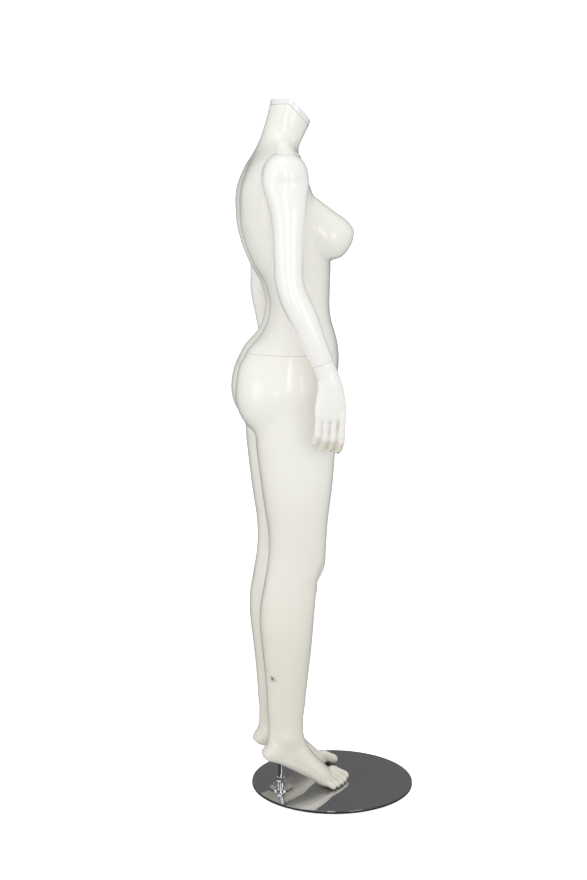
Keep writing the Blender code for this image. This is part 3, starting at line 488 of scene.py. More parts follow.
def foot_mass(side):
    rings = []
    at = stations(FOOT, FOOT_STEP)
    for y, (out, sole, top, half) in zip(at, smooth_curve(FOOT, at)):
        round_c, over = oval(2.0)
        flat_c, under = oval(3.0)
        middle = sole + FOOT_WIDEST * (top - sole)
        x = MIDLINE_X + side * out + half * np.where(under < 0, flat_c, round_c)
        z = middle + np.where(under < 0, (middle - sole) * under, (top - middle) * over)
        rings.append(turned_out(np.column_stack([x, np.full_like(x, y), z]), side))
    return loft("foot_mass", rings)


def toe_masses(side):
    made = []
    for out, y0, tip_out, y1, radius in TOES:
        root = across(side, (out, y0, PLATE_TOP + radius + TOE_RISE))
        tip = across(side, (tip_out, y1, PLATE_TOP + GAP + radius * TOE_TIP))
        root, tip = turned_out((root, tip), side)
        made.append(round_bone("toe", root, radius * TOE_ROOT, tip, radius * TOE_TIP))
    return made


def bone_mass(name, ends, side):
    (*near, near_radius), (*far, far_radius) = ends
    return round_bone(name, across(side, near), near_radius, across(side, far), far_radius)


def buttock_mass(side):
    x, y, z = BUTTOCK_CENTRE
    forward = LEFT_HIP_FORWARD if side > 0 else 0.0
    return ball("buttock", across(side, (x, y - forward, z)), BUTTOCK_SIZE)


def figure_masses(with_toes=True):
    masses = [torso_mass()]
    for side in (-1, 1):
        masses.append(limb_mass("arm", ARM, side, straightened))
        masses += [limb_mass("leg", LEG, side, set_back), foot_mass(side)]
        masses += [bone_mass("breast", BREAST, side), buttock_mass(side)]
        masses.append(bone_mass("shoulder", SHOULDER_BONE, side))
        if with_toes:
            masses += toe_masses(side)
    return masses


def hand_bone(start, start_radius, end, end_radius, side):
    root, tip = straightened([across(side, start), across(side, end)], side)
    return round_bone("bone", root, start_radius, tip, end_radius)


def bone_way(curl):
    """Which way a finger's bone runs, on the left."""
    return Vector((-math.sin(curl), 0.03, -math.cos(curl)))


def hand_masses(side):
    masses = [limb_mass("palm", PALM, side, straightened)]
    for y, z, lengths, radius in FINGERS:
        start, root = Vector((KNUCKLE_OUT, y, z)), KNUCKLE_SHARE * radius
        for length, curl in zip(lengths, FINGER_CURL):
            end = start + length * bone_way(curl)
            radius *= BONE_TAPER
            masses.append(hand_bone(start, root, end, radius, side))
            start, root = end, radius
    for (*start, r0), (*end, r1) in zip(THUMB, THUMB[1:]):
        masses.append(hand_bone(start, r0, end, r1, side))
    return masses


# ---------------------------------------------------------------- cutting the figure at its seams
def cropped(obj, low, high):
    """A copy of only the faces inside a box, still open at the box."""
    work = bmesh.new()
    work.from_mesh(obj.data)
    points = coords(obj.data)
    inside = ((points > np.array(low)) & (points < np.array(high))).all(1)
    work.verts.ensure_lookup_table()
    bmesh.ops.delete(work, geom=[work.verts[i] for i in np.nonzero(~inside)[0]], context="VERTS")
    return work


def cut_seam(work, point, normal, rounded):
    """Cut everything beyond a plane away, with the rim turned in a little where it is rounded."""
    point, normal = Vector(point), Vector(normal).normalized()
    for share in (1.0, SEAM_MIDWAY[0], 0) if rounded else (0,):
        bmesh.ops.bisect_plane(
            work, geom=work.verts[:] + work.edges[:] + work.faces[:], dist=1e-6,
            plane_co=point - normal * SEAM_WIDTH * share, plane_no=normal, clear_outer=not share
        )
    if rounded:
        work.normal_update()
        moves = []
        for vert in work.verts:
            depth = (vert.co - point).dot(normal) + SEAM_WIDTH
            if depth > SEAM_WIDTH * 0.5 and not any(f.material_index for f in vert.link_faces):
                flat = vert.normal - normal * vert.normal.dot(normal)
                share = 1.0 if depth > SEAM_WIDTH * 0.9 else SEAM_MIDWAY[1]
                moves.append((vert, flat.normalized() * SEAM_DEPTH * share))
        for vert, move in moves:
            vert.co -= move
    rim = [
        edge for edge in work.edges
        if edge.is_boundary and all(on_plane(vert, point, normal) for vert in edge.verts)
    ]
    loops = islands(rim, lambda edge: [e for vert in edge.verts for e in vert.link_edges])
    if len(loops) == 2:
        bmesh.ops.bridge_loops(work, edges=rim)
    else:
        bmesh.ops.triangle_fill(work, edges=rim, normal=normal, use_beauty=True)


def islands(items, neighbours):
    """The separate groups of items, where neighbours(item) gives those that each one touches."""
    left, groups = set(items), []
    while left:
        group = [left.pop()]
        groups.append(group)
        for item in group:
            for other in neighbours(item):
                if other in left:
                    left.discard(other)
                    group.append(other)
    return groups


def on_plane(vert, point, normal):
    return abs((vert.co - point).dot(normal)) < 1e-5


def keep_nearest(work, near):
    """Delete every loose piece but the one nearest a point."""
    pieces = islands(work.verts, lambda vert: [edge.other_vert(vert) for edge in vert.link_edges])
    keep = set(min(pieces, key=lambda piece: min((vert.co - near).length for vert in piece)))
    bmesh.ops.delete(work, geom=[v for v in work.verts if v not in keep], context="VERTS")


def clipped(obj, name, planes, near, low=(-9, -9, -9), high=(9, 9, 9), rounded=True):
    """The loose piece nearest a point, once everything beyond each plane is cut away."""
    work = cropped(obj, low, high)
    for point, normal in planes:
        cut_seam(work, point, normal, rounded)
    keep_nearest(work, Vector(near))
    bmesh.ops.recalc_face_normals(work, faces=work.faces)
    for face in work.faces:
        face.material_index = 0
    return object_from(work, name)


def combined(target, tools, operation="DIFFERENCE"):
    """Cut every tool from the target, or with INTERSECT keep what they share, for good."""
    for tool in tools:
        cut = target.modifiers.new(operation.lower(), "BOOLEAN")
        cut.operation = operation
        cut.solver = "EXACT"
        cut.object = tool
    settle(target)
    drop(tools)


def finished(obj, finish, body, *nodes, smooth=35):
    """Material, shading, and which CAD nodes it stands for."""
    obj.data.materials.clear()
    obj.data.materials.append(finish)
    obj.data.shade_smooth()
    obj.data.set_sharp_from_angle(angle=math.radians(smooth))
    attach(obj, body)
    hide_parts(*nodes)


# ---------------------------------------------------------------- materials
class Nodes:
    """A short way to write a node tree."""

    def __init__(self, material):
        material.use_nodes = True
        self.tree = material.node_tree
        self.shader = self.tree.nodes["Principled BSDF"]
        self.place = self.add("ShaderNodeTexCoord").outputs["Object"]

    def add(self, kind, **values):
        node = self.tree.nodes.new(kind)
        for key, value in values.items():
            if hasattr(node, key):
                setattr(node, key, value)
            else:
                node.inputs[key.replace("_", " ")].default_value = value
        return node

    def link(self, source, target):
        self.tree.links.new(source, target)

    def noise(self, scale, detail=3.0, rough=0.5, stretch=None):
        node = self.add("ShaderNodeTexNoise", Scale=scale, Detail=detail, Roughness=rough)
        if stretch:
            mapping = self.add("ShaderNodeMapping")
            mapping.inputs["Scale"].default_value = stretch
            self.link(self.place, mapping.inputs["Vector"])
            self.link(mapping.outputs["Vector"], node.inputs["Vector"])
        else:
            self.link(self.place, node.inputs["Vector"])
        return node.outputs["Fac"]

    def range(self, source, low, high, new_low, new_high):
        spans = {"From_Min": low, "From_Max": high, "To_Min": new_low, "To_Max": new_high}
        node = self.add("ShaderNodeMapRange", **spans)
        self.link(source, node.inputs["Value"])
        return node.outputs["Result"]

    def mix(self, factor, one, two):
        node = self.add("ShaderNodeMix", data_type="RGBA")
        slots = [s for s in node.inputs if s.enabled]
        for slot, value in zip(slots, (factor, one, two)):
            if hasattr(value, "is_output"):
                self.link(value, slot)
            elif isinstance(value, tuple):
                slot.default_value = (*value, 1.0)
            else:
                slot.default_value = value
        return [s for s in node.outputs if s.enabled][0]

    def bump(self, source, strength, distance, under=None):
        node = self.add("ShaderNodeBump", Strength=strength, Distance=distance)
        self.link(source, node.inputs["Height"])
        if under:
            self.link(under, node.inputs["Normal"])
        return node.outputs["Normal"]

    def out(self, **values):
        for key, value in values.items():
            socket = self.shader.inputs[key.replace("_", " ")]
            if hasattr(value, "is_output"):
                self.link(value, socket)
            else:
                socket.default_value = value


def gelcoat(name, light, deep, painted_crevice_shade, rough=(0.27, 0.36), reach=0.014, low=None, fade=(0.30, 0.80)):
    """Glossy moulded skin: cloudy tint, fine ripple and a darker crevice tint, within reach of a fold.
    The crevice tint is painted shade, laid on where ambient occlusion finds the skin shut in.

    Where low is given, the tint goes over to it between the two heights of fade, going down: painted
    shade, darker towards the bottom.
    """
    made = bpy.data.materials.new(name)
    n = Nodes(made)
    cloud = n.range(n.noise(5.0, 4.0), 0.35, 0.65, 0.0, 1.0)
    tint = n.mix(cloud, light, deep)
    # Painted shade: where low is given, the tint darkens towards it going down.
    if low:
        apart = n.add("ShaderNodeSeparateXYZ")
        n.link(n.place, apart.inputs[0])
        tint = n.mix(n.range(apart.outputs["Z"], *fade, 1.0, 0.0), tint, low)
    # Painted shade: the tint darkens towards the crevice colour where ambient occlusion finds the skin
    # shut in by a fold.
    shade = n.add("ShaderNodeAmbientOcclusion")
    shade.samples = 8
    shade.inputs["Distance"].default_value = reach
    shade.only_local = True
    painted_shade_share = n.range(shade.outputs["AO"], 0.15, 0.85, 1.0, 0.0)
    tint = n.mix(painted_shade_share, tint, painted_crevice_shade)
    gloss = n.range(n.noise(9.0, 2.0), 0.10, 0.90, *rough)
    ripple = n.bump(n.noise(22.0, 0.0), 0.05, 0.0004)
    peel = n.bump(n.noise(620.0, 2.0), 0.04, 0.0002, ripple)
    n.out(Base_Color=tint, Roughness=gloss, Normal=peel, Coat_Weight=0.90, Coat_Roughness=0.07)
    return made


def metal(name, colour, rough, scale, bump=0.03):
    made = bpy.data.materials.new(name)
    n = Nodes(made)
    smear = n.noise(scale, 4.0, 0.6)
    tint = n.mix(n.range(smear, 0.3, 0.7, 0.0, 1.0), colour, tuple(0.88 * c for c in colour))
    fine = n.bump(n.noise(scale * 8, 2.0), bump, 0.0002)
    n.out(Base_Color=tint, Roughness=n.range(smear, 0.3, 0.7, *rough), Normal=fine, Metallic=1.0)
    return made


def polished_plate():
    """Mirror steel with hairline scratches and a few smudges."""
    made = bpy.data.materials.new("mirror_plate")
    n = Nodes(made)
    smudge = n.range(n.noise(9.0, 5.0, 0.55), 0.45, 0.75, 0.0, 1.0)
    scratches = []
    for scale, stretch in ((40.0, (1.0, 26.0, 1.0)), (34.0, (24.0, 1.6, 1.0))):
        scratches.append(n.range(n.noise(scale, 2.0, stretch=stretch), 0.66, 0.80, 0.0, 1.0))
    lines = n.mix(0.5, *scratches)
    tint = n.mix(smudge, (0.70, 0.705, 0.72), (0.63, 0.635, 0.64))
    rough = n.range(smudge, 0.0, 1.0, 0.035, 0.10)
    n.out(Base_Color=tint, Roughness=rough, Normal=n.bump(lines, 0.04, 0.0002), Metallic=1.0)
    return made


def rubber():
    made = bpy.data.materials.new("black_rubber")
    n = Nodes(made)
    grain = n.noise(420.0, 3.0)
    tint = n.mix(grain, (0.030, 0.030, 0.031), (0.055, 0.054, 0.052))
    rough = n.range(grain, 0.3, 0.7, 0.65, 0.85)
    n.out(Base_Color=tint, Roughness=rough, Normal=n.bump(grain, 0.3, 0.0004))
    return made


# ---------------------------------------------------------------- turned fittings
def turned(name, profile, steps=96):
    """A solid of revolution about Z. The profile runs down its outer side from top to bottom."""
    edges = [(k, k + 1) for k in range(len(profile) - 1)]
    mesh = bpy.data.meshes.new(name)
    mesh.from_pydata([(r, 0, z) for r, z in profile], edges, [])
    obj = add_object(name, mesh)
    screw = obj.modifiers.new("turn", "SCREW")
    screw.steps = steps
    screw.render_steps = steps
    screw.use_merge_vertices = True
    screw.merge_threshold = 0.00001
    settle(obj)
    face_outwards(obj.data)
    return obj


def arc(centre_r, centre_z, radius, start, end, count=6):
    """Points of a rounded edge in a profile, by angle in degrees."""
    made = []
    for k in range(count + 1):
        angle = math.radians(start + (end - start) * k / count)
        made.append((centre_r + radius * math.cos(angle), centre_z + radius * math.sin(angle)))
    return made


def rod(name, radius, low, high, steps=48):
    return turned(name, [(0, high), (radius, high), (radius, low), (0, low)], steps)


def pose(obj, point, direction=UP, turn=0.0):
    """Turn an object's mesh about Z, aim its Z along a direction and set its origin at a point."""
    aim = UP.rotation_difference(Vector(direction)).to_matrix().to_4x4()
    obj.data.transform(Matrix.Translation(Vector(point)) @ aim @ Matrix.Rotation(turn, 4, "Z"))
    return obj


def block(name, size, centre):
    work = bmesh.new()
    bmesh.ops.create_cube(work, size=1.0)
    bmesh.ops.scale(work, vec=size, verts=work.verts)
    bmesh.ops.translate(work, vec=centre, verts=work.verts)
    return object_from(work, name)


# ---------------------------------------------------------------- the sculpted figure
def near_toes(points):
    """How far the skin keeps its creases: most at the toes, some at the heels, none above."""
    forward = np.clip((0.034 - points[:, 1]) / 0.016, 0, 1)
    low = np.clip((0.060 - points[:, 2]) / 0.015, 0, 1)
    foot = np.clip((0.150 - points[:, 2]) / 0.040, 0, 1)
    return np.maximum(0.96 * forward * low, 0.65 * foot)


def body_moves():
    """Muscle, bone and crease on top of the plain sections."""
    moves = both_sides([
        ((0.065, 0.205, 1.375), (0.035, 0.050, 0.060), 0.0040),  # shoulder blade
        ((0.030, 0.215, 1.290), (0.022, 0.040, 0.070), 0.0020),  # long back muscles
        ((0.034, 0.170, 1.120), (0.020, 0.040, 0.070), 0.0015),
        ((0.105, 0.010, 1.000), (0.025, 0.025, 0.030), 0.0020),  # hip bone
        ((0.055, 0.100, 1.484), (0.026, 0.022, 0.014), -0.0060),  # hollow above the collarbone
        ((0.045, 0.120, 1.560), (0.016, 0.022, 0.030), 0.0025),  # neck muscle, top
        ((0.030, 0.092, 1.510), (0.012, 0.018, 0.028), 0.0025),
        ((0.015, 0.076, 1.476), (0.009, 0.016, 0.014), 0.0020),
        ((0.060, 0.172, 0.850), (0.030, 0.026, 0.009), -0.0025),  # fold below the buttock
        ((0.065, 0.034, 0.545), (0.022, 0.020, 0.024), 0.0030),  # knee cap
        ((0.064, 0.044, 0.508), (0.016, 0.018, 0.010), -0.0015),
        ((0.064, 0.047, 0.488), (0.015, 0.018, 0.012), 0.0015),
        ((0.040, 0.040, 0.535), (0.010, 0.018, 0.022), -0.0022),
        ((0.091, 0.040, 0.535), (0.010, 0.018, 0.022), -0.0022),
        ((0.062, 0.172, 0.500), (0.020, 0.020, 0.040), -0.0025),  # hollow of the knee
        ((0.086, 0.118, 0.135), (0.014, 0.016, 0.016), 0.0040),  # outer ankle bone
        ((0.027, 0.112, 0.146), (0.014, 0.016, 0.016), 0.0038),  # inner ankle bone
        ((0.080, 0.146, 0.150), (0.012, 0.012, 0.030), -0.0035),  # beside the heel tendon
        ((0.033, 0.146, 0.152), (0.012, 0.012, 0.030), -0.0035),
        ((0.090, 0.060, 0.300), (0.016, 0.030, 0.090), -0.0015),  # shin's outer side
        ((0.200, 0.162, 1.205), (0.014, 0.014, 0.018), 0.0020),  # elbow
        ((0.150, 0.110, 1.385), (0.020, 0.050, 0.030), -0.0010),
        ((0.185, 0.150, 1.402), (0.030, 0.012, 0.012), -0.0030),  # below the shoulder cap
        ((0.080, -0.028, 1.302), (0.034, 0.030, 0.030), 0.0060),  # breast
        ((0.082, -0.036, 1.302), (0.011, 0.014, 0.010), 0.0030),
        ((0.078, 0.014, 1.238), (0.045, 0.014, 0.006), -0.0035),  # fold below the breast
    ])
    for share in (0, 0.5, 1):  # crease at the root of the neck
        at = (0.048 + 0.012 * share, 0.120 - 0.018 * share, 1.517 - 0.014 * share)
        moves += both_sides([(at, (0.018, 0.0070, 0.0045), -0.0024)])
    for share in np.linspace(0, 1, 9):
        at = (0.012 + 0.118 * share, 0.083 + 0.032 * share, 1.456 + 0.019 * share)
        moves += both_sides([(at, (0.016, 0.020, 0.0065), 0.0017)])  # collarbone
    moves.append((tuple(CALF_HOLE), (0.014, 0.014, 0.014), -0.0022))  # the skin dips into the hole
    moves += [
        ((MIDLINE_X, 0.076, 1.464), (0.010, 0.016, 0.010), -0.0040),  # notch of the breastbone
        ((MIDLINE_X, 0.050, 1.380), (0.010, 0.030, 0.070), -0.0015),
        ((MIDLINE_X, 0.006, 1.085), (0.0060, 0.014, 0.0075), -0.0070),  # navel
        ((MIDLINE_X, 0.008, 1.105), (0.012, 0.020, 0.060), -0.0012),
        ((MIDLINE_X, 0.008, 1.150), (0.010, 0.020, 0.060), -0.0015),
        ((MIDLINE_X, 0.190, 1.150), (0.012, 0.030, 0.150), -0.0015),  # groove of the spine
    ]
    return moves


def toe_gaps():
    """The creases between neighbouring toes, from the web to the tips."""
    moves = []
    for side in (-1, 1):
        for (x0, y0, tx0, ty0, r0), (x1, y1, tx1, ty1, r1) in zip(TOES, TOES[1:]):
            share = r0 / (r0 + r1)
            root = np.array([x0 + (x1 - x0) * share, (y0 + y1) / 2, 2.1 * r1 + TOE_RISE])
            tip = np.array([tx0 + (tx1 - tx0) * share, max(ty0, ty1) - 0.003, 1.7 * r1])
            for along in np.linspace(0, 1, 8):
                x, y, up = root + (tip - root) * along
                at = turned_out([across(side, (x, y, PLATE_TOP + up))], side)[0]
                moves.append((tuple(at), (0.0022, 0.0050, 0.0050), -0.0014 - 0.0008 * along))
    return moves


def toe_nails():
    moves = []
    for side in (-1, 1):
        for _, _, tip_out, tip_y, radius in TOES:
            place = across(side, (tip_out, tip_y - 0.2 * radius, PLATE_TOP + 2.0 * radius))
            nail = turned_out([place], side)[0]
            moves.append((tuple(nail), (radius * 0.42, radius * 0.5, radius * 0.6), 0.0006))
    return moves


def off_the_hips(points):
    """0 round the hips, where the masses run into one another, rising to 1 above and below."""
    away = np.clip((abs(points[:, 2] - 0.950) - 0.110) / 0.060, 0, 1)
    return np.where(abs(points[:, 0] - MIDLINE_X) > 0.19, 1, away)


def grow_hips(figure):
    """Give the hips back what the softening took."""
    sculpt(figure, both_sides([
        ((0.075, 0.215, 0.935), (0.060, 0.050, 0.070), 0.0045),
        ((0.065, 0.195, 1.035), (0.055, 0.040, 0.036), 0.0090),
        ((0.115, 0.105, 0.840), (0.035, 0.065, 0.055), 0.0040),
        ((0.115, 0.045, 0.870), (0.035, 0.040, 0.080), 0.0030),
        ((0.130, 0.075, 0.940), (0.035, 0.045, 0.060), 0.0040),
        ((0.040, 0.200, 0.995), (0.055, 0.040, 0.026), 0.0060),
    ]))
    sculpt(figure, [(across(-1, (0.065, 0.195, 1.025)), (0.045, 0.040, 0.045), 0.0040)])


def make_figure():
    fine = (0.005 / BODY_VOXEL) ** 2  # a finer skin takes more steps to soften as far
    figure = fused("figure", figure_masses(), BODY_VOXEL, round(12 * fine), near_toes)
    soften(figure, 4)
    soften(figure, round(50 * fine), off_the_hips)
    grow_hips(figure)
    sculpt(figure, body_moves())
    sculpt(figure, toe_gaps())
    sculpt(figure, toe_nails())
    return figure


def make_core():
    """The cavity's shape: the plain figure without toes, drawn in by the wall."""
    core = fused("core", figure_masses(with_toes=False), CORE_VOXEL, 8)
    inset = core.modifiers.new("inset", "DISPLACE")
    inset.mid_level = 0
    inset.strength = -WALL
    settle(core)
    return fused("core", [core], CORE_VOXEL + 0.001, 6)


def make_shell(figure, core):
    """The figure with its cavity: the inner faces carry material 1 until the pieces are cut."""
    work = bmesh.new()
    work.from_mesh(core.data)
    bmesh.ops.reverse_faces(work, faces=work.faces)
    for face in work.faces:
        face.material_index = 1
    work.from_mesh(figure.data)
    return object_from(work, "shell")


# ---------------------------------------------------------------- the pieces of skin
def neck_planes(down):
    """The two faces of the neck's end, lowered along their normals."""
    front = Vector((0, -math.sin(NECK_SLOPE), math.cos(NECK_SLOPE)))
    return [
        (NECK_RIDGE - UP * down, UP),
        (NECK_RIDGE - front * down, front),
    ]


def below_neck(down):
    """A wide block that fills everything below the neck's two faces."""
    wide = block("wide", (0.4, 0.4, 0.8), (MIDLINE_X, 0.1, 1.3))
    trimmed = clipped(wide, "below", neck_planes(down), (MIDLINE_X, 0.1, 1.0), rounded=False)
    drop([wide])
    return trimmed


def wrist_frame(side):
    """The wrist seam's centre and the direction out of the forearm's end."""
    ends = straightened([across(side, WRIST_ABOVE), across(side, WRIST)], side)
    above, centre = (Vector(end) for end in ends)
    return centre, (centre - above).normalized()


def make_leg_skin(shell, finish):
    planes = [(UP * (WAIST_Z - GAP / 2), UP)]
    low, high = (-0.155, -1, -1), (0.205, 1, 1.06)
    skin = clipped(shell, "legs_skin", planes, (MIDLINE_X, 0.1, 0.9), low, high)
    heel = pose(rod("heel", HEEL_BORE + 2 * GAP, 0, 0.17, 64), (ROD_X, ROD_Y, 0))
    calf = pose(rod("calf", CALF_BORE + 2 * GAP, -0.03, 0.03), CALF_HOLE, CALF_INWARD)
    combined(skin, [heel, calf])
    finished(skin, finish, "legs", "legs_shell")


def make_torso_skin(shell, finish):
    planes = [(UP * (WAIST_Z + GAP / 2), -UP)] + neck_planes(NECK_CAP_HEIGHT + GAP)
    for side in (-1, 1):
        edge = (MIDLINE_X + side * (SHOULDER_X - GAP / 2), 0, 0)
        planes.append((edge, (side, 0, 0)))
    low, high = (-0.135, -1, 1.02), (0.185, 1, 9)
    skin = clipped(shell, "torso_skin", planes, (MIDLINE_X, 0.1, 1.3), low, high)
    finished(skin, finish, "torso", "torso_shell")


def make_arm_skin(side, word, shell, finish):
    wrist, down = wrist_frame(side)
    inside = MIDLINE_X + side * (SHOULDER_X + GAP / 2)
    planes = [((inside, 0, 0), (-side, 0, 0)), (wrist - down * GAP / 2, down)]
    near = across(side, (0.2, ELBOW_Y, ELBOW_Z))
    overlap = MIDLINE_X + side * (SHOULDER_X - 0.01)
    low = (-9 if side < 0 else overlap, -1, 0.98)
    high = (overlap if side < 0 else 9, 1, 9)
    skin = clipped(shell, "arm_skin_" + word, planes, near, low, high)
    finished(skin, finish, "arm_" + word, "arm_shell_" + word)


def make_neck_cap(figure, finish):
    planes = neck_planes(0) + [(UP * 1.51, -UP)]
    skin = clipped(figure, "cap_gloss", planes, (MIDLINE_X, 0.11, 1.56), (-1, -1, 1.49), (1, 1, 9))
    combined(skin, [below_neck(NECK_CAP_HEIGHT)])
    peg = pose(rod("hole", CAP_PEG + GAP, -0.06, -0.005), NECK_RIDGE + CAP_PEG_BACK)
    combined(skin, [peg])
    finished(skin, finish, "cap", "neck_cap", smooth=25)


def finger_marks(side):
    """Nails, and the creases and bones of the finger joints, as moves on the skin."""
    moves = []
    for y, z, lengths, radius in FINGERS:
        start = Vector((KNUCKLE_OUT, y, z))
        for number, (length, curl) in enumerate(zip(lengths, FINGER_CURL)):
            along = bone_way(curl)
            outward = Vector((math.cos(curl), 0.0, -math.sin(curl)))
            bump = 0.0001 if number == 0 else 0.0006
            moves.append((start + outward * radius, (0.006, 0.006, 0.006), bump))
            moves.append((start - outward * radius, (0.0022, 0.008, 0.0022), -0.0009))
            start = start + length * along
        nail = start + outward * radius * 0.85 - along * radius * 0.1
        moves.append((nail, (0.0042, 0.0042, 0.0042), 0.0006))
    return [(straightened([across(side, at)], side)[0], *move) for at, *move in moves]


def make_hand_skin(side, word, figure, finish):
    wrist, down = wrist_frame(side)
    whole = fused("whole", hand_masses(side), HAND_VOXEL, round(3 * (0.003 / HAND_VOXEL) ** 2))
    sculpt(whole, finger_marks(side))
    meet_forearm(whole, figure, wrist, down)
    planes = [(wrist + down * GAP / 2, -down)]
    skin = clipped(whole, "hand_skin_" + word, planes, wrist + down * 0.05)
    drop([whole])
    combined(skin, [pose(rod("hole", WRIST_BORE + GAP, -0.025, 0.02), wrist, -down)])
    finished(skin, finish, "hand_" + word, word + "_hand")


def meet_forearm(hand, figure, wrist, down):
    """Draw the hand's end onto the forearm's surface, so that the two skins run on across the seam."""
    tree = BVHTree.FromObject(figure, bpy.context.evaluated_depsgraph_get())
    points = coords(hand.data)
    depth = (points - np.array(wrist)) @ np.array(down)
    reach, fade = 0.012, 0.010
    for i in np.nonzero(depth < reach)[0]:
        place = Vector(points[i])
        near = tree.find_nearest(place)[0]
        share = eased(min(1.0, (reach - depth[i]) / fade))
        points[i] = place + (near - place) * share
    set_coords(hand.data, points)


# ---------------------------------------------------------------- the base and its fittings
def make_disc(finish):
    upper, lower = 0.0014, 0.0006  # the rounding of its two edges
    profile = [(0, PLATE_TOP)] + arc(BASE_RADIUS - upper, PLATE_TOP - upper, upper, 90, 0)
    profile += arc(BASE_RADIUS - lower, PAD_HEIGHT + lower, lower, 0, -90, 3) + [(0, PAD_HEIGHT)]
    finished(turned("mirror_disc", profile, 256), finish, "base", "base_disc")


def screw_place(angle):
    return ROD_X + SCREW_CIRCLE * math.cos(angle), ROD_Y + SCREW_CIRCLE * math.sin(angle), 0


def make_flange(finish):
    low = PLATE_TOP + GAP
    flat = low + FLANGE_THICKNESS
    bore, hub, rim, top = ROD_RADIUS + GAP, 0.0125, 0.0280, FLANGE_TOP
    profile = [(0, low + 0.0015), (bore, low + 0.0015), (bore, top - 0.0004), (bore + 0.0004, top)]
    profile += arc(hub - 0.0012, top - 0.0012, 0.0012, 90, 0)
    profile += [(hub, flat + 0.0075), (hub - 0.0006, flat + 0.0070), (hub - 0.0006, flat + 0.0060)]
    profile += [(hub, flat + 0.0055)]
    profile += arc(hub + 0.0025, flat + 0.0025, 0.0025, 180, 270)
    profile += [(rim - 0.0042, flat), (rim - 0.0038, flat - 0.0004), (rim - 0.0032, flat - 0.0004)]
    profile += [(rim - 0.0028, flat)]
    profile += arc(rim - 0.0012, flat - 0.0012, 0.0012, 90, 0) + [(rim, low), (0, low)]
    flange = pose(turned("chrome_flange", profile, 128), (ROD_X, ROD_Y, 0))
    combined(flange, [pose(rod("way", 0.0026, 0, 0.03, 32), screw_place(a)) for a in SCREW_ANGLES])
    finished(flange, finish, "base", "base_flange")


def make_screw(number, angle, finish):
    seat, end = PLATE_TOP + GAP + FLANGE_THICKNESS + GAP, PLATE_TOP - 0.0045
    head, shank = 0.0040, 0.0020
    profile = [(0, seat + 0.0024)] + arc(0.0016, seat + 0.0008, 0.0016, 90, 60, 2)
    profile += arc(0.0016, seat, 0.0024, 60, 20, 5)
    profile += [(head, seat + 0.0005), (head, seat), (shank, seat), (shank, end), (0, end)]
    screw = turned(f"chrome_screw_{number}", profile, 48)
    combined(screw, [rod("key", 0.0014, seat + 0.001, seat + 0.01, 6)])
    pose(screw, screw_place(angle), turn=angle)
    finished(screw, finish, "base", f"flange_screw_{number}")


def make_post(finish):
    low = PLATE_TOP + 2 * GAP + 0.0015
    profile = [(0, ROD_TOP)] + arc(ROD_RADIUS - 0.002, ROD_TOP - 0.002, 0.002, 90, 0)
    profile += [(ROD_RADIUS, low + 0.0003), (ROD_RADIUS - 0.0003, low), (0, low)]
    post = pose(turned("chrome_post", profile), (ROD_X, ROD_Y, 0))
    finished(post, finish, "base", "foot_rod")


def make_nut(finish):
    width, high, bore = 0.0190, 0.0100, ROD_RADIUS + 0.0002
    corner = width / math.sqrt(3)
    nut = rod("chrome_nut", corner, 0, high, 6)
    flat = width / 2 * 0.97
    fall = (corner - flat) * 0.6
    crown = [(0, high), (flat, high), (corner + 0.0005, high - fall - 0.0003)]
    crown += [(corner + 0.0005, fall + 0.0003), (flat, 0), (0, 0)]
    combined(nut, [turned("crown", crown, 128)], "INTERSECT")
    hole = [(0, high + 0.01), (bore + 0.0006 + 0.01, high + 0.01), (bore, high - 0.0006)]
    hole += [(bore, 0.0006), (bore + 0.0106, -0.01), (0, -0.01)]
    combined(nut, [turned("bore", hole)])
    bevel = nut.modifiers.new("edge", "BEVEL")
    bevel.width = 0.0003
    bevel.segments = 2
    bevel.limit_method = "ANGLE"
    bevel.angle_limit = math.radians(35)
    settle(nut)
    pose(nut, (ROD_X, ROD_Y, FLANGE_TOP + GAP))
    finished(nut, finish, "nut", "lock_nut")


# ---------------------------------------------------------------- build
# Light and deep tints of the body and its painted crevice shade, and light and deep tints of the paler
# limbs. Each finish's third tint is the painted shade in its crevices.
IVORY = ((0.835, 0.830, 0.775), (0.815, 0.805, 0.740), (0.60, 0.55, 0.42))
PALE = ((0.855, 0.845, 0.815), (0.83, 0.82, 0.785))

body_finish = gelcoat("ivory_gelcoat", *IVORY)
# The legs' low tint is painted shade: darker and yellower from the thighs down to the calves, as less
# light reaches them.
leg_finish = gelcoat("leg_gelcoat", *IVORY, low=(0.74, 0.715, 0.635))
arm_finish = gelcoat("arm_gelcoat", *PALE, (0.62, 0.57, 0.48))
# The hands' low tint and wider crevice tint are painted shade: darker and warmer in the finger gaps and
# at the curled fingertips.
hand_finish = gelcoat(
    "hand_gelcoat", *PALE, (0.48, 0.40, 0.24), reach=0.016, low=(0.74, 0.705, 0.59), fade=(0.835, 0.868)
)
cap_finish = gelcoat(
    "cap_gloss", (0.82, 0.812, 0.825), (0.79, 0.782, 0.80), (0.66, 0.645, 0.65), rough=(0.16, 0.22)
)
chrome = metal("chrome", (0.90, 0.915, 0.95), (0.07, 0.16), 90.0)
zinc = metal("zinc_steel", (0.60, 0.60, 0.61), (0.28, 0.45), 45.0, bump=0.10)

figure = make_figure()
core = make_core()
shell = make_shell(figure, core)
make_leg_skin(shell, leg_finish)
make_torso_skin(shell, body_finish)
for side, word in ((-1, "right"), (1, "left")):
    make_arm_skin(side, word, shell, arm_finish)
    make_hand_skin(side, word, figure, hand_finish)
make_neck_cap(figure, cap_finish)
drop([figure, core, shell])

make_disc(polished_plate())
make_flange(chrome)
for number, angle in enumerate(SCREW_ANGLES, start=1):
    make_screw(number, angle, chrome)
make_post(chrome)
make_nut(chrome)

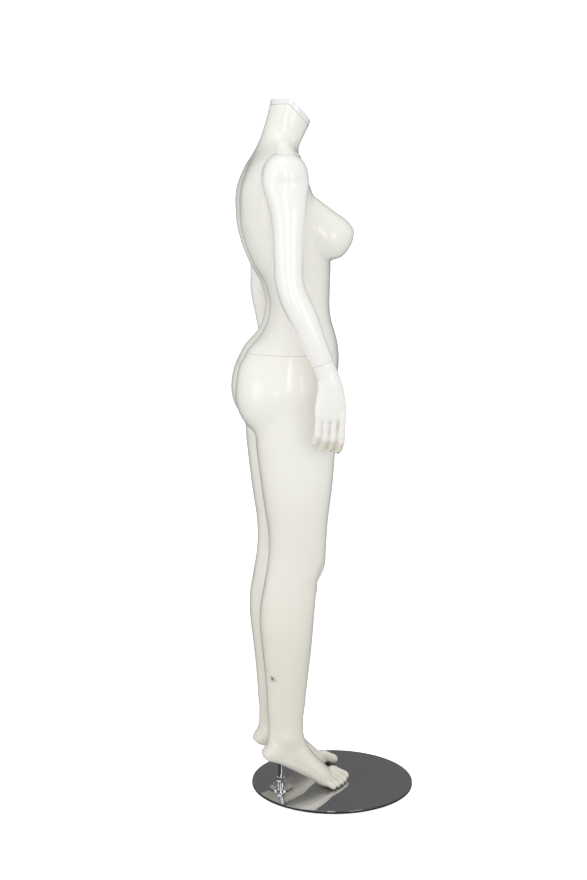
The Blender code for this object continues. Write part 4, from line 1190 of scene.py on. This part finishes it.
carried_finish = {"base_mat": rubber(), "calf_socket": leg_finish}
for name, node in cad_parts.items():
    if not node.hide_render:
        node.data.materials.clear()
        node.data.materials.append(carried_finish.get(name, zinc))


# ---------------------------------------------------------------- floor, world, lights, camera
FILL = (0.872, 1.038)  # the even light on the object, from below and from above
ROOM_GREY = (0.045, 0.152)  # what its gloss and the mirror plate see of the room, below and above
BACKDROP = 1.25
LOOK_AT_Y = 0.1
# Name, angle from -X towards +Y, distance, height, size and power.
SOFTBOXES = (
    ("key", 10, 3.7, 2.30, (0.75, 2.8), 16),
    ("side", -24, 3.6, 1.50, (1.3, 1.5), 10),
    ("rear", 62, 3.4, 1.45, (1.7, 2.3), 11),
    ("top", 60, 0.8, 3.6, (1.6, 1.6), 5),
)


def make_floor():
    work = bmesh.new()
    bmesh.ops.create_circle(work, cap_ends=True, segments=128, radius=0.75)
    floor = object_from(work, "floor")
    floor.location.z = -0.0002
    made = bpy.data.materials.new("white_floor")
    n = Nodes(made)
    tint = n.mix(n.noise(1.5, 3.0), (0.93, 0.93, 0.93), (0.95, 0.95, 0.95))
    n.out(Base_Color=tint, Roughness=0.9, Emission_Color=(1, 1, 1, 1), Emission_Strength=0.70)
    n.shader.inputs["Specular IOR Level"].default_value = 0.1
    floor.data.materials.append(made)
    floor.visible_diffuse = False
    floor.visible_glossy = False


def make_world():
    """White behind the object, even fill on it, and a darker room in its reflections."""
    world = bpy.data.worlds.new("studio")
    bpy.context.scene.world = world
    world.use_nodes = True
    nodes, link = world.node_tree.nodes, world.node_tree.links.new
    nodes.clear()
    shades = {}
    for name in ("fill", "room", "backdrop"):
        shades[name] = nodes.new("ShaderNodeBackground")
        shades[name].inputs["Color"].default_value = (1, 1, 1, 1)
    shades["backdrop"].inputs["Strength"].default_value = BACKDROP
    split = nodes.new("ShaderNodeSeparateXYZ")
    link(nodes.new("ShaderNodeTexCoord").outputs["Generated"], split.inputs[0])
    for shade, span, ends in (("fill", (-0.7, 0.7), FILL), ("room", (-0.05, 0.08), ROOM_GREY)):
        rise = nodes.new("ShaderNodeMapRange")
        rise.interpolation_type = "SMOOTHSTEP"
        for name, value in zip(("From Min", "From Max", "To Min", "To Max"), span + ends):
            rise.inputs[name].default_value = value
        link(split.outputs["Z"], rise.inputs["Value"])
        link(rise.outputs["Result"], shades[shade].inputs["Strength"])
    rays = nodes.new("ShaderNodeLightPath")
    seen = shades["fill"]
    for ray, shade in (("Is Glossy Ray", "room"), ("Is Camera Ray", "backdrop")):
        choice = nodes.new("ShaderNodeMixShader")
        link(rays.outputs[ray], choice.inputs[0])
        link(seen.outputs[0], choice.inputs[1])
        link(shades[shade].outputs[0], choice.inputs[2])
        seen = choice
    link(seen.outputs[0], nodes.new("ShaderNodeOutputWorld").inputs["Surface"])


def add_softbox(name, angle, distance, height, size, watts):
    turn = math.radians(angle)
    place = Vector((-math.cos(turn) * distance, LOOK_AT_Y + math.sin(turn) * distance, height))
    target = Vector((0.0, LOOK_AT_Y, 1.0 + 0.5 * (height - 1.0)))
    data = bpy.data.lights.new(name, "AREA")
    data.shape = "RECTANGLE"
    data.size, data.size_y = size
    data.energy = watts
    light = add_object(name, data)
    light.location = place
    light.rotation_euler = (target - place).to_track_quat("-Z", "Y").to_euler()


def make_camera():
    """The photo's view, worked out from the outline of the base disc."""
    data = bpy.data.cameras.new("camera")
    data.lens = 61.36
    data.sensor_width = 36.0
    camera = add_object("camera", data)
    camera.location = (-3.335, 0.621, 1.387)
    pitch = math.radians(9.38)
    aim = Vector((0.98769, -0.15643, 0)) * math.cos(pitch) - UP * math.sin(pitch)
    camera.rotation_euler = aim.to_track_quat("-Z", "Y").to_euler()
    bpy.context.scene.camera = camera


make_floor()
make_world()
for softbox in SOFTBOXES:
    add_softbox(*softbox)
make_camera()
bpy.context.scene.view_settings.view_transform = "Standard"
